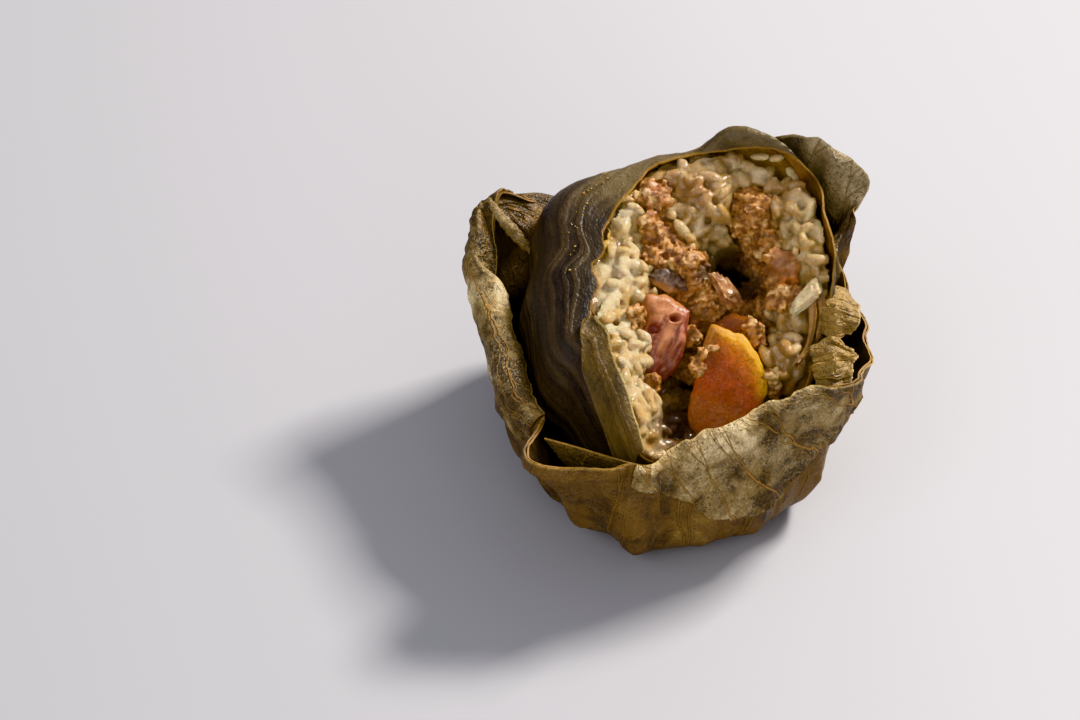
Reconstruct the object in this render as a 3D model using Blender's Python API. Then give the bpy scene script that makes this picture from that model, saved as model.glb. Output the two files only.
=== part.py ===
"""A lotus leaf parcel of sticky rice, torn open to show its filling.

Lengths below are in millimetres and angles in degrees; MM turns them into Blender's metres.
The parcel stands on the floor (z = 0) with +Z up, and its torn mouth leans towards -Y.
Most pieces are described around one upright axis, CENTRE: an angle (0 along +X, 90 along
+Y), a radius from that axis, and a height.
"""
import math
import random

import bmesh
import bpy
import numpy as np
from mathutils import Euler, Vector, noise

MM = 0.001
CENTRE = np.array([-4.0, -7.0])

# Thicknesses and clearances.
LEAF = 0.9
GAP = 0.35
NEST = LEAF + GAP
THIN_LEAF = 0.7
SNUG_GAP = 0.4
FLAT_RADIUS = 27.0
BASE_RING = 0.55
GIRTH_RISE = 0.58
FULLNESS = 0.8

# The inner leaf, around the parcel: angle, radius at the girth, radius of the torn edge,
# height of the torn edge, turn of the flank from the girth to that edge, how far up the
# flank (1 at the girth, 2 at the edge) the rice reaches, and how square its shoulder is
# (1 is round, less is squarer).
INNER_LEAF = (
    (0, 36.2, 35.8, 45, 84, 1.50, 0.8),
    (8, 37.4, 36.6, 60, 84, 1.60, 0.8),
    (18, 38.6, 37.8, 66, 84, 1.66, 0.8),
    (30, 40.2, 39.0, 69, 88, 1.56, 0.8),
    (42, 42.4, 40.6, 71, 98, 1.44, 0.8),
    (56, 44.4, 41.0, 71.5, 116, 1.36, 0.8),
    (68, 45.2, 39.0, 70.5, 126, 1.34, 0.8),
    (77, 45.0, 37.5, 69, 124, 1.38, 0.8),
    (86, 44.0, 36.8, 67, 102, 1.60, 0.8),
    (100, 44.5, 34.5, 66, 92, 1.85, 0.7),
    (119, 47.0, 29.5, 63, 90, 2.0, 0.5),
    (131, 48.2, 26.0, 61, 90, 2.0, 0.42),
    (143, 45.0, 23.0, 60, 90, 2.0, 0.5),
    (160, 40.0, 20.8, 58, 90, 2.0, 0.7),
    (186, 37.0, 19.5, 56, 90, 2.0, 0.8),
    (208, 36.2, 22.5, 53, 90, 2.0, 0.8),
    (221, 35.6, 23.8, 52, 90, 2.0, 0.8),
    (234, 35.6, 27.0, 50, 90, 2.0, 0.8),
    (246, 37.4, 32.0, 47, 90, 2.0, 0.8),
    (252, 39.4, 36.2, 43, 90, 2.0, 0.8),
    (258, 40.8, 39.8, 37, 88, 1.90, 0.8),
    (264, 39.0, 38.4, 34, 84, 1.70, 0.8),
    (276, 36.0, 35.5, 33, 84, 1.60, 0.8),
    (295, 34.4, 34.0, 32, 84, 1.60, 0.8),
    (316, 35.4, 35.0, 33, 84, 1.60, 0.8),
    (334, 36.4, 36.0, 36, 84, 1.50, 0.8),
    (347, 36.2, 35.8, 40, 84, 1.45, 0.8),
)

# The outer leaf, laid open under and around the parcel: angle, radius and height of its
# crest, radius of the rolled edge (inward is positive) and the turn of that roll.
OUTER_LEAF = (
    (2, 44.0, 44, -2.5, 60),
    (13, 43.4, 45, -2.5, 50),
    (20, 41.8, 50, -2.5, 50),
    (27, 42.6, 60, -3.5, 90),
    (34, 45.0, 73, -4.5, 115),
    (43, 45.8, 77, -3.0, 90),
    (53, 46.8, 76, -2.0, 60),
    (63, 48.0, 70, -2.0, 40),
    (75, 47.8, 58, -2.0, 40),
    (95, 47.5, 47, -2.0, 40),
    (118, 51.0, 46, -2.0, 30),
    (132, 54.5, 49, 2.0, 30),
    (143, 56.8, 56, 3.6, 70),
    (150, 58.4, 56, 4.4, 110),
    (160, 55.6, 48, 4.4, 150),
    (170, 49.4, 44, 4.0, 170),
    (182, 45.8, 42, 3.2, 175),
    (200, 45.6, 40, 3.0, 170),
    (214, 46.0, 38, 2.6, 150),
    (224, 48.0, 37, 2.0, 100),
    (233, 56.4, 40, 1.5, 60),
    (241, 55.0, 40, 1.5, 60),
    (250, 51.0, 40, 1.5, 70),
    (261, 47.6, 40, 1.8, 80),
    (268, 44.6, 40, 2.2, 90),
    (280, 39.2, 42, 2.6, 90),
    (297, 37.4, 44, 2.6, 90),
    (314, 38.8, 46, 2.4, 90),
    (326, 41.0, 47, 1.8, 70),
    (338, 44.2, 44, -1.8, 30),
    (352, 45.0, 43, -2.5, 60),
)
OUTER_FLARE = 2.2
LIP = 3.0

# Soft lengthwise creases of both leaves: depth, the height by which they have that depth, and
# how many there are of the broad and of the fine ones.
CREASE_DEPTH = 0.55
CREASE_HEIGHT = 12.0
BROAD_CREASES = 9
FINE_CREASES = 17

# Pleats that stand out of the outer leaf's wall: angle, how far, and half width in degrees.
PLEATS = (
    (12, 1.6, 7), (50, 2.2, 9), (68, 1.6, 6), (86, 3.0, 10), (104, 1.8, 6), (124, 3.2, 9),
    (150, 2.4, 8), (175, 1.8, 7), (192, 2.4, 7), (214, 1.6, 6), (236, 2.6, 8), (258, 1.8, 6),
    (284, 1.4, 6), (306, 2.0, 8), (333, 2.2, 7), (352, 1.4, 6),
)

# The torn crater in the rice: its middle, its floor, and for each angle the two fractions
# of the radius between which the torn face climbs from the floor to the leaf.
CRATER_HUB = np.array([5.0, 0.0])
CRATER_FLOOR = 26.0
CRATER_CLIMBS = (1.0, 0.85, 0.65, 0.45, 0.25, 0.1, 0.0)
CRATER_REACH = 0.97
CRATER = (
    (0, 0.62, 0.92),
    (30, 0.62, 0.86),
    (60, 0.60, 0.84),
    (90, 0.56, 0.80),
    (115, 0.52, 0.84),
    (140, 0.50, 0.90),
    (180, 0.40, 0.90),
    (215, 0.46, 0.92),
    (240, 0.62, 0.94),
    (262, 0.74, 0.98),
    (300, 0.82, 1.0),
    (335, 0.76, 0.98),
)

# Clumps of rice on the torn face: x, y, z of the middle, and half sizes.
RICE_CLUMPS = (
    (2.5, 23.0, 57, 10, 7, 9),
    (-4.5, 17.5, 53, 7, 6, 8),
    (9.5, 20.0, 49, 6, 6, 8),
    (25.5, 19.5, 58, 7, 8, 9),
    (27.5, 8.5, 53, 6, 8, 9),
    (24.0, -1.5, 46, 6, 6, 6),
    (21.5, -11.5, 37, 5.5, 6, 8),
    (-17.5, -16.0, 43, 6, 8, 7),
    (-14.5, -31.0, 36, 6, 7, 8),
    (-10.0, -38.0, 29, 5.5, 5, 6.5),
    (-16.0, 3.0, 50, 6, 9, 6),
    (-6.0, -22.0, 24, 7, 8, 5),
)

# Clumps of minced pork: x, y, z of the middle, and half sizes.
MINCE_CLUMPS = (
    (7, 3, 29, 15, 15, 6),
    (-4.5, 7.5, 47, 8.5, 8, 9),
    (0.5, 3.5, 38, 7, 6, 9),
    (-8.5, 13.5, 53, 5, 6, 6),
    (-11.0, 20.5, 59, 5, 5.5, 6),
    (13.5, 20.0, 57, 6.5, 6, 8),
    (17.5, 15.0, 50, 6, 7, 9),
    (20.5, 8.5, 46, 6, 6, 6.5),
    (20.0, 2.5, 41, 5.5, 5, 7.5),
    (12.0, 6.0, 38, 5, 5, 7),
    (-12.0, -8.0, 44, 4, 5, 5),
    (-8.0, -22.5, 33, 3.6, 4, 6),
    (14.0, -11.0, 30, 6, 6, 8),
)

# The flap over the inner leaf: its span of angles, and its width in rise at its two ends.
FLAP_START = 206.0
FLAP_END = 257.0
FLAP_TIP = 0.08
FLAP_REACH = 0.85
FLAP_ROWS = 12
FLAP_COLUMNS = 6

# The rolled arm at the left lobe: from the lobe's peak down to the parcel's flank.
FOLD_PATH = ((-45.6, 19.8, 51.6), (-44.2, 17.6, 51.6), (-43.0, 15.2, 50.2), (-42.3, 12.6, 47.6))
FOLD_RADIUS = 2.6
FOLD_SIDE = (0.72, 0.69, 0.0)
FOLD_SPAN = (-20.0, 190.0)

# Points along each small sheet or vein.
SHEET_ROWS = 9

# Crumpled shreds: middle, the way they face, lean, length, width, folds.
SHREDS = (
    ((37.9, -3.6, 50.4), -62, -38, 9.0, 10.0, 1.0),
    ((35.0, -16.2, 47.4), -66, -38, 8.0, 8.0, 1.6),
)
SHRED_WAVE = 1.2

# Bare veins: the points they run through, and their radius at the upper end; how much of it
# is lost by the lower end, and how flat they are.
VEIN_SIDES = 5
VEIN_TAPER = 0.45
VEIN_FLATNESS = 0.35
VEINS = (
    (((27.6, -4.8, 53), (28.0, -7.8, 48.8), (27.6, -11, 44.9), (26.2, -14.4, 43), (24.4, -18, 42.6)), 0.7),
    (((30.0, -4.8, 52.0), (30.2, -7.4, 47.9), (29.4, -10.4, 44.2)), 0.6),
    (((28.2, -14.8, 40.0), (28.0, -18.4, 39.4), (26.8, -22.4, 38.4)), 0.5),
)

# The cured pork, the mushroom and the two pieces of salted yolk: place, turn and sizes.
PORK_PLACE = (-8.3, -9.5, 42.0)
PORK_HALF = (6.2, 5.2, 10.6)
PORK_TURN = (-38, 10, 8)
PORK_TAPER = 0.3
MUSHROOM_PLACE = (-6.6, 0.3, 52.0)
MUSHROOM_HALF = (5.0, 2.8, 1.2)
MUSHROOM_TURN = (25, 18, -10)
YOLK_PLACE = (9.0, -20.5, 37.0)
YOLK_TURN = (55, 0, -8)
YOLK_OUTLINE = ((0, 8.8), (22, 8.6), (50, 9.8), (80, 11.4), (100, 13.2), (118, 14.4), (136, 12.6),
                (165, 10.6), (195, 10.9), (222, 13.6), (240, 14.6), (264, 11.8), (300, 9.6), (335, 8.8))
YOLK_THICKNESS = 7.5
SLIVER_PLACE = (10.0, -7.0, 41.5)
SLIVER_TURN = (55, 0, -20)
SLIVER_OUTLINE = ((0, 6.0), (60, 6.5), (110, 8.0), (180, 5.5), (270, 8.0))
SLIVER_THICKNESS = 2.4

# Rings of a cut slice, from its face to its back: depth as a share of the thickness, size as a
# share of the outline, and how much of the growth moves the ring forward.
SLICE_RINGS = ((0.0, 0.9, 1.0), (0.05, 1.0, 0.6), (0.45, 0.97, 0.0), (0.8, 0.8, -1.0), (1.0, 0.5, -1.0))
SLICE_SIDES = 22

# The upright pleat inside the front corner of the outer leaf: its top and bottom edges.
PLEAT_TOP = ((-35.2, -44.0, 38.5), (-27.2, -46.2, 38.0), (-19.0, -48.6, 37.5), (-11.6, -50.6, 37.0))
PLEAT_BOTTOM = ((-29.5, -41.0, 27.0), (-24.5, -43.6, 27.0), (-18.5, -46.4, 28.0), (-12.8, -48.6, 29.0))

# Colours of the pieces.
OUTER_COLOUR = (0.30, 0.25, 0.14)
INNER_COLOUR = (0.10, 0.085, 0.05)
FLAP_COLOUR = (0.20, 0.17, 0.07)
FOLD_COLOUR = (0.34, 0.28, 0.16)
PLEAT_COLOUR = (0.24, 0.20, 0.11)
SHRED_COLOUR = (0.33, 0.27, 0.11)
VEIN_COLOUR = (0.28, 0.16, 0.06)
RICE_COLOUR = (0.62, 0.50, 0.28)
MINCE_COLOUR = (0.30, 0.15, 0.07)
PORK_COLOUR = (0.48, 0.14, 0.09)
MUSHROOM_COLOUR = (0.10, 0.06, 0.04)
YOLK_COLOUR = (0.80, 0.28, 0.03)
SLIVER_COLOUR = (0.70, 0.25, 0.04)

# Edges shorter than this are welded after a Boolean.
WELD = 0.004

GRAIN_LENGTH = 6.8
GRAIN_WIDTH = 3.5
GRAIN_COUNT = 26
GRAIN_SEED = 11
GRAIN_TRIES = 4000
GRAIN_APART = 0.75
GRAIN_SINK = 0.25
GRAIN_FREE = (24.0, 3.0)
CRUMB_COUNT = 18
CRUMB_SEED = 4
CRUMB_SIZES = (1.3, 2.4)

AROUND_INNER = 48
AROUND_OUTER = 66
AROUND_RICE = 28
INNER_RISES = (0.0, 0.45, 0.8, 1.15, 1.45, 1.72, 2.0)
OUTER_RISES = (0.0, 0.32, 0.6, 0.82, 1.0, 1.33, 1.66, 2.0)
ROOM_GAP = 0.2
CORE_GAP = 0.8
ROOM_LID = 95.0


# ---------------------------------------------------------------- numbers around the axis
def around(table, angles):
    """Read a table of (angle, values...) at any angles, by a smooth closed curve."""
    rows = np.array(table, dtype=float)
    known = np.concatenate([rows[:, 0] - 360.0, rows[:, 0], rows[:, 0] + 360.0])
    values = np.tile(rows[:, 1:], (3, 1))
    step = np.diff(known)[:, None]
    rise = np.diff(values, axis=0) / step
    slope = np.zeros_like(values)
    slope[1:-1] = (rise[:-1] * step[1:] + rise[1:] * step[:-1]) / (step[1:] + step[:-1])
    angles = np.asarray(angles, dtype=float) % 360.0
    cell = np.clip(np.searchsorted(known, angles, side="right") - 1, 0, len(known) - 2)
    width = step[cell]
    part = ((angles - known[cell])[:, None]) / width
    start, end = values[cell], values[cell + 1]
    return (
        start * (2 * part ** 3 - 3 * part ** 2 + 1)
        + end * (3 * part ** 2 - 2 * part ** 3)
        + slope[cell] * width * (part ** 3 - 2 * part ** 2 + part)
        + slope[cell + 1] * width * (part ** 3 - part ** 2)
    )


def place(angles, radius, height):
    """Points at angles, radii and heights around the parcel's axis, in millimetres."""
    turn = np.radians(angles)
    return np.stack([CENTRE[0] + radius * np.cos(turn), CENTRE[1] + radius * np.sin(turn), height], -1)


def creases(angles, height):
    """The soft lengthwise folds that both leaves share: a small change of radius."""
    turn = np.radians(angles)
    depth = CREASE_DEPTH * np.clip(height / CREASE_HEIGHT, 0.0, 1.0)
    broad = np.sin(BROAD_CREASES * turn + 1.4 * np.sin(2 * turn))
    return depth * (broad + 0.5 * np.sin(FINE_CREASES * turn + 0.05 * height))


def smooth_step(low, high, value):
    """0 below low, 1 above high, with a smooth climb between."""
    part = np.clip((value - low) / np.maximum(high - low, 1e-6), 0.0, 1.0)
    return part * part * (3.0 - 2.0 * part)


# ---------------------------------------------------------------- skins of the two leaves
def fuller(wave, power=FULLNESS):
    """A sine or cosine made squarer, so that the flanks are full like a folded packet's."""
    return np.sign(wave) * np.abs(wave) ** power


def inner_skin(angles, rises):
    """The inner leaf's outside, for rises from 0 (edge of the flat base) to 2 (torn edge)."""
    girth, edge, top, turn, _, square = around(INNER_LEAF, angles).T
    turn = np.radians(turn)
    waist = GIRTH_RISE * top
    crown = waist + (top - waist) / fuller(np.sin(turn), square)
    low = np.radians(90.0 * np.clip(rises, 0.0, 1.0))
    high = turn * np.clip(rises - 1.0, 0.0, 1.0)
    radius = FLAT_RADIUS + (girth - FLAT_RADIUS) * fuller(np.sin(low))
    inward = (1.0 - fuller(np.cos(high), square)) / (1.0 - fuller(np.cos(turn), square))
    radius = radius - (girth - edge) * inward
    height = NEST + (waist - NEST) * (1.0 - fuller(np.cos(low)))
    height = height + (crown - waist) * fuller(np.sin(high), square)
    return place(angles, radius + creases(angles, height), height)


def pleats(angles, part):
    """How far the outer leaf's pleats stand out, part of the way up its wall."""
    out = np.zeros_like(part)
    for angle, depth, width in PLEATS:
        away = np.abs((angles - angle + 180.0) % 360.0 - 180.0) / width
        out = out + depth * np.clip(1.0 - away, 0.0, 1.0)
    return out * np.sin(math.pi * np.clip(part, 0.0, 1.0)) ** 0.8


def outer_skin(angles, rise):
    """The outer leaf's outside: rise runs 0 to 1 up the wall, and 1 to 2 round the rolled edge."""
    girth, _, top, _, _, _ = around(INNER_LEAF, angles).T
    crest, height, roll, turn = around(OUTER_LEAF, angles).T
    turn = np.radians(turn)
    waist = GIRTH_RISE * top
    lip = np.maximum(0.0, LIP - np.abs(roll) * turn)
    shoulder = height - np.abs(roll) * np.sin(np.minimum(turn, math.pi / 2)) - lip
    climb = np.clip(rise, 0.0, 1.0)
    level = shoulder * climb ** 2
    snug = girth + NEST + SNUG_GAP
    below = np.clip(1.0 - level / waist, 0.0, 1.0) ** (2.0 / FULLNESS)
    radius = FLAT_RADIUS + (snug - FLAT_RADIUS) * (1.0 - below) ** (FULLNESS / 2.0)
    radius = radius + (crest - snug) * climb ** (2.0 * OUTER_FLARE)
    radius = radius + creases(angles, level) + pleats(angles, climb)
    bend = turn * np.clip(rise - 1.0, 0.0, 1.0)
    radius = radius - roll * (1.0 - np.cos(bend))
    level = level + np.abs(roll) * np.sin(bend) + lip * np.clip(rise - 1.0, 0.0, 1.0)
    return place(angles, radius, level)


def base_rings(angles, height):
    """A middle point and one ring of the flat base, as two rings of a skin."""
    flat = np.full(len(angles), height)
    return [place(angles, 0.0 * flat, flat), place(angles, 0.0 * flat + BASE_RING * FLAT_RADIUS, flat)]


def ring_angles(count):
    """Evenly spaced angles, in degrees."""
    return np.arange(count) * 360.0 / count


# ---------------------------------------------------------------- meshes
def skin_normals(grid, closed):
    """Unit normals of a grid of points [around, up], pointing out of a leaf's underside."""
    if closed:
        along = np.roll(grid, -1, axis=0) - np.roll(grid, 1, axis=0)
    else:
        along = np.gradient(grid, axis=0)
    normal = np.cross(along, np.gradient(grid, axis=1))
    length = np.linalg.norm(normal, axis=-1, keepdims=True)
    return normal / np.maximum(length, 1e-9)


def new_object(name, verts, faces, colour, roughness=0.6):
    """An object from millimetre points and faces, with its own Principled material."""
    mesh = bpy.data.meshes.new(name)
    mesh.from_pydata([tuple(MM * v) for v in np.asarray(verts, dtype=float)], [], faces)
    bm = bmesh.new()
    bm.from_mesh(mesh)
    bmesh.ops.recalc_face_normals(bm, faces=bm.faces)
    bm.to_mesh(mesh)
    bm.free()
    obj = bpy.data.objects.new(name, mesh)
    bpy.context.scene.collection.objects.link(obj)
    material = bpy.data.materials.new(name)
    material.use_nodes = True
    shader = material.node_tree.nodes["Principled BSDF"]
    shader.inputs["Base Color"].default_value = (*colour, 1.0)
    shader.inputs["Roughness"].default_value = roughness
    material.diffuse_color = (*colour, 1.0)
    mesh.materials.append(material)
    return obj


def bowl_faces(rings, count, first):
    """Triangles of a bowl's skin whose ring 0 is one point, seen from outside."""
    faces = []
    for i in range(count):
        j = (i + 1) % count
        faces.append((first, first + 1 + j, first + 1 + i))
        for k in range(1, rings - 1):
            a = first + 1 + (k - 1) * count
            b = a + count
            faces.append((a + i, a + j, b + j))
            faces.append((a + i, b + j, b + i))
    return faces


def leaf_bowl(name, grid, colour):
    """A bowl of leaf: the skin grid [around, up] and the same skin moved in by its thickness."""
    count, rings = grid.shape[:2]
    normals = skin_normals(grid, closed=True)
    normals[:, :2] = (0.0, 0.0, -1.0)
    verts = []
    faces = []
    for side, skin in enumerate((grid, grid - LEAF * normals)):
        start = len(verts)
        verts.append(skin[:, 0].mean(axis=0))
        for k in range(1, rings):
            verts.extend(skin[:, k])
        part = bowl_faces(rings, count, start)
        faces.extend([face[::-1] for face in part] if side else part)
    offset = 1 + (rings - 1) * count
    last = 1 + (rings - 2) * count
    for i in range(count):
        j = (i + 1) % count
        faces.append((last + i, last + j, offset + last + j))
        faces.append((last + i, offset + last + j, offset + last + i))
    return new_object(name, verts, faces, colour)


def leaf_sheet(name, grid, colour, thickness=LEAF):
    """An open piece of leaf from a skin grid [along, across], thickened behind its skin."""
    rows, columns = grid.shape[:2]
    back = grid - thickness * skin_normals(grid, closed=False)
    verts = list(grid.reshape(-1, 3)) + list(back.reshape(-1, 3))
    offset = rows * columns
    faces = []
    for i in range(rows - 1):
        for j in range(columns - 1):
            a = i * columns + j
            b = a + columns
            for one, two, three in ((a, b, b + 1), (a, b + 1, a + 1)):
                faces.append((one, two, three))
                faces.append((offset + three, offset + two, offset + one))
    rim = [i * columns for i in range(rows)]
    rim += [(rows - 1) * columns + j for j in range(1, columns)]
    rim += [i * columns + columns - 1 for i in range(rows - 2, -1, -1)]
    rim += [j for j in range(columns - 2, 0, -1)]
    for a, b in zip(rim, rim[1:] + rim[:1]):
        faces.append((b, a, offset + a))
        faces.append((b, offset + a, offset + b))
    return new_object(name, verts, faces, colour)


def curve_through(points, count):
    """Evenly spaced points on a smooth curve through a few named ones (the first axis)."""
    points = np.asarray(points, dtype=float)
    padded = np.concatenate([2 * points[:1] - points[1:2], points, 2 * points[-1:] - points[-2:-1]])
    found = []
    for place_on in np.linspace(0.0, len(points) - 1.0, count):
        cell = min(int(place_on), len(points) - 2)
        t = place_on - cell
        p0, p1, p2, p3 = padded[cell:cell + 4]
        found.append(
            0.5 * (2 * p1 + (p2 - p0) * t + (2 * p0 - 5 * p1 + 4 * p2 - p3) * t ** 2
                   + (3 * p1 - p0 - 3 * p2 + p3) * t ** 3)
        )
    return np.array(found)


def patch(rows, along, across):
    """A smooth grid through rows of named points."""
    lengthwise = curve_through(rows, along)
    return np.swapaxes(curve_through(np.swapaxes(lengthwise, 0, 1), across), 0, 1)


# ---------------------------------------------------------------- leaf pieces
def make_outer_leaf():
    angles = ring_angles(AROUND_OUTER)
    rings = base_rings(angles, 0.0)
    for rise in OUTER_RISES:
        rings.append(outer_skin(angles, np.full(AROUND_OUTER, rise)))
    return leaf_bowl("leaf_outer", np.stack(rings, axis=1), OUTER_COLOUR)


def make_inner_leaf():
    angles = ring_angles(AROUND_INNER)
    rings = base_rings(angles, NEST)
    for rise in INNER_RISES:
        rings.append(inner_skin(angles, np.full(AROUND_INNER, rise)))
    return leaf_bowl("leaf_inner", np.stack(rings, axis=1), INNER_COLOUR)


def make_leaf_flap():
    """The lighter flap that lies over the inner leaf along the front of its torn edge."""
    angles = np.linspace(FLAP_START, FLAP_END, FLAP_ROWS)
    part = (angles - FLAP_START) / (FLAP_END - FLAP_START)
    reach = FLAP_TIP + (FLAP_REACH - FLAP_TIP) * part
    shares = np.linspace(1.0, 0.0, FLAP_COLUMNS)
    columns = [inner_skin(angles, 2.0 - reach * share) for share in shares]
    grid = np.stack(columns, axis=1)
    return leaf_sheet("leaf_flap", grid + NEST * skin_normals(grid, closed=False), FLAP_COLOUR)


def make_leaf_fold():
    """The rolled arm of leaf that comes down from the left lobe's peak to the parcel."""
    path = curve_through(FOLD_PATH, SHEET_ROWS)
    side = np.array(FOLD_SIDE)
    turns = np.radians(np.linspace(*FOLD_SPAN, 8))
    rows = []
    for point, part in zip(path, np.linspace(0.0, 1.0, SHEET_ROWS)):
        size = FOLD_RADIUS * (0.35 + 2.6 * part * (1.0 - part)) * (1.0 - 0.55 * part)
        rows.append([point + size * (math.cos(a) * side + np.array([0, 0, math.sin(a)])) for a in turns])
    return leaf_sheet("leaf_fold", np.array(rows)[::-1], FOLD_COLOUR, THIN_LEAF)


def make_leaf_shreds():
    """Two crumpled pieces of leaf, torn free at the right and caught inside the outer leaf."""
    for number, (middle, facing, lean, length, width, folds) in enumerate(SHREDS):
        a = math.radians(facing)
        t = math.radians(lean)
        rows = []
        for u in np.linspace(0.0, 1.0, SHEET_ROWS):
            wave = SHRED_WAVE * math.sin(folds * 2.0 * math.pi * u)
            along = length * (u - 0.5)
            row = []
            for v in np.linspace(-1.0, 1.0, 5):
                lift = 0.5 * width * v
                out = wave * (0.6 + 0.4 * v) + 0.9 * v * v + lift * math.sin(t)
                x = middle[0] - math.sin(a) * along + math.cos(a) * out
                y = middle[1] + math.cos(a) * along + math.sin(a) * out
                row.append((x, y, middle[2] + lift * math.cos(t)))
            rows.append(row)
        leaf_sheet(f"leaf_shred_{number + 1}", np.array(rows), SHRED_COLOUR, THIN_LEAF)


def make_veins():
    """Tough veins that stayed when the leaf round them tore away."""
    for number, (points, radius) in enumerate(VEINS):
        path = curve_through(points, SHEET_ROWS)
        verts = []
        for point, part in zip(path, np.linspace(0.0, 1.0, SHEET_ROWS)):
            size = radius * (1.0 - VEIN_TAPER * part)
            for a in np.radians(ring_angles(VEIN_SIDES)):
                way = np.array([math.cos(a), VEIN_FLATNESS * math.sin(a), math.sin(a)])
                verts.append(point + size * way)
        faces = []
        last = (SHEET_ROWS - 1) * VEIN_SIDES
        for a in range(0, last, VEIN_SIDES):
            b = a + VEIN_SIDES
            for i in range(VEIN_SIDES):
                j = (i + 1) % VEIN_SIDES
                faces.append((a + i, b + i, b + j))
                faces.append((a + i, b + j, a + j))
        faces.append(tuple(range(VEIN_SIDES)))
        faces.append(tuple(last + i for i in reversed(range(VEIN_SIDES))))
        new_object(f"leaf_vein_{number + 1}", verts, faces, VEIN_COLOUR)


def make_leaf_pleat():
    """The upright pleat of leaf between the parcel and the outer leaf's front corner."""
    grid = patch([PLEAT_BOTTOM, PLEAT_TOP], 4, 10)
    return leaf_sheet("leaf_pleat", grid, PLEAT_COLOUR, THIN_LEAF)


# ---------------------------------------------------------------- lumps and pieces
def lump(name, centre, half, seed, grow=0.0, detail=2, rough=0.18, turn=(0, 0, 0), square=1.0,
         taper=0.0):
    """A lumpy ball: half sizes, a seeded unevenness, an even growth, a turn, a squareness, and
    a taper that narrows its lower end."""
    bm = bmesh.new()
    bmesh.ops.create_icosphere(bm, subdivisions=detail, radius=1.0)
    rotation = Euler([math.radians(a) for a in turn]).to_matrix()
    verts = []
    for vert in bm.verts:
        way = vert.co.normalized()
        uneven = 1.0 + rough * noise.noise(way * 1.7 + Vector((seed * 3.1, seed * 1.7, 0.4)))
        shaped = Vector([math.copysign(abs(c) ** square, c) for c in way])
        size = Vector(half) * uneven
        size.x *= 1.0 + taper * shaped.z
        local = Vector([shaped[i] * size[i] + way[i] * grow for i in range(3)])
        verts.append(Vector(centre) + rotation @ local)
    faces = [[v.index for v in face.verts] for face in bm.faces]
    bm.free()
    return new_object(name, verts, faces, MINCE_COLOUR)


def recolour(obj, colour, roughness):
    """Give an object's material its colour and roughness."""
    shader = obj.data.materials[0].node_tree.nodes["Principled BSDF"]
    shader.inputs["Base Color"].default_value = (*colour, 1.0)
    shader.inputs["Roughness"].default_value = roughness


def slice_solid(name, colour, grow, centre, turn, outline, thickness):
    """A cut slice with one flat face: an outline by angle, domed towards its back."""
    rotation = Euler([math.radians(a) for a in turn]).to_matrix()
    angles = ring_angles(SLICE_SIDES)
    radius = around(outline, angles)[:, 0] + grow
    verts = []
    for depth, size, forward in SLICE_RINGS:
        level = grow * forward - thickness * depth
        for a, r in zip(np.radians(angles), size * radius):
            verts.append(Vector(centre) + rotation @ Vector((r * math.cos(a), r * math.sin(a), level)))
    faces = [tuple(range(SLICE_SIDES))]
    last = (len(SLICE_RINGS) - 1) * SLICE_SIDES
    for a in range(0, last, SLICE_SIDES):
        b = a + SLICE_SIDES
        for i in range(SLICE_SIDES):
            j = (i + 1) % SLICE_SIDES
            faces.append((a + i, b + i, b + j, a + j))
    faces.append(tuple(last + i for i in reversed(range(SLICE_SIDES))))
    return new_object(name, verts, faces, colour)


def combine(target, tools, operation, solver="EXACT"):
    """One Boolean of a collection on an object, applied, with the tools then removed."""
    group = bpy.data.collections.new("tools")
    bpy.context.scene.collection.children.link(group)
    for tool in tools:
        group.objects.link(tool)
    boolean = target.modifiers.new("combine", "BOOLEAN")
    boolean.operation = operation
    boolean.operand_type = "COLLECTION"
    boolean.collection = group
    boolean.solver = solver
    depsgraph = bpy.context.evaluated_depsgraph_get()
    mesh = bpy.data.meshes.new_from_object(target.evaluated_get(depsgraph))
    target.modifiers.clear()
    material = target.data.materials[0]
    mesh.materials.clear()
    mesh.materials.append(material)
    for polygon in mesh.polygons:
        polygon.material_index = 0
    target.data = mesh
    for tool in tools:
        bpy.data.objects.remove(tool, do_unlink=True)
    bpy.data.collections.remove(group)
    keep_largest(target)


def keep_largest(obj):
    """Weld tiny edges, triangulate, and drop every loose scrap but the largest body."""
    bm = bmesh.new()
    bm.from_mesh(obj.data)
    bmesh.ops.dissolve_degenerate(bm, edges=bm.edges, dist=WELD * MM)
    bmesh.ops.triangulate(bm, faces=bm.faces)
    left = set(bm.verts)
    bodies = []
    while left:
        body = []
        stack = [left.pop()]
        while stack:
            vert = stack.pop()
            body.append(vert)
            for edge in vert.link_edges:
                other = edge.other_vert(vert)
                if other in left:
                    left.remove(other)
                    stack.append(other)
        bodies.append(body)
    bodies.sort(key=len, reverse=True)
    for body in bodies[1:]:
        bmesh.ops.delete(bm, geom=body, context="VERTS")
    bm.to_mesh(obj.data)
    bm.free()


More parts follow.
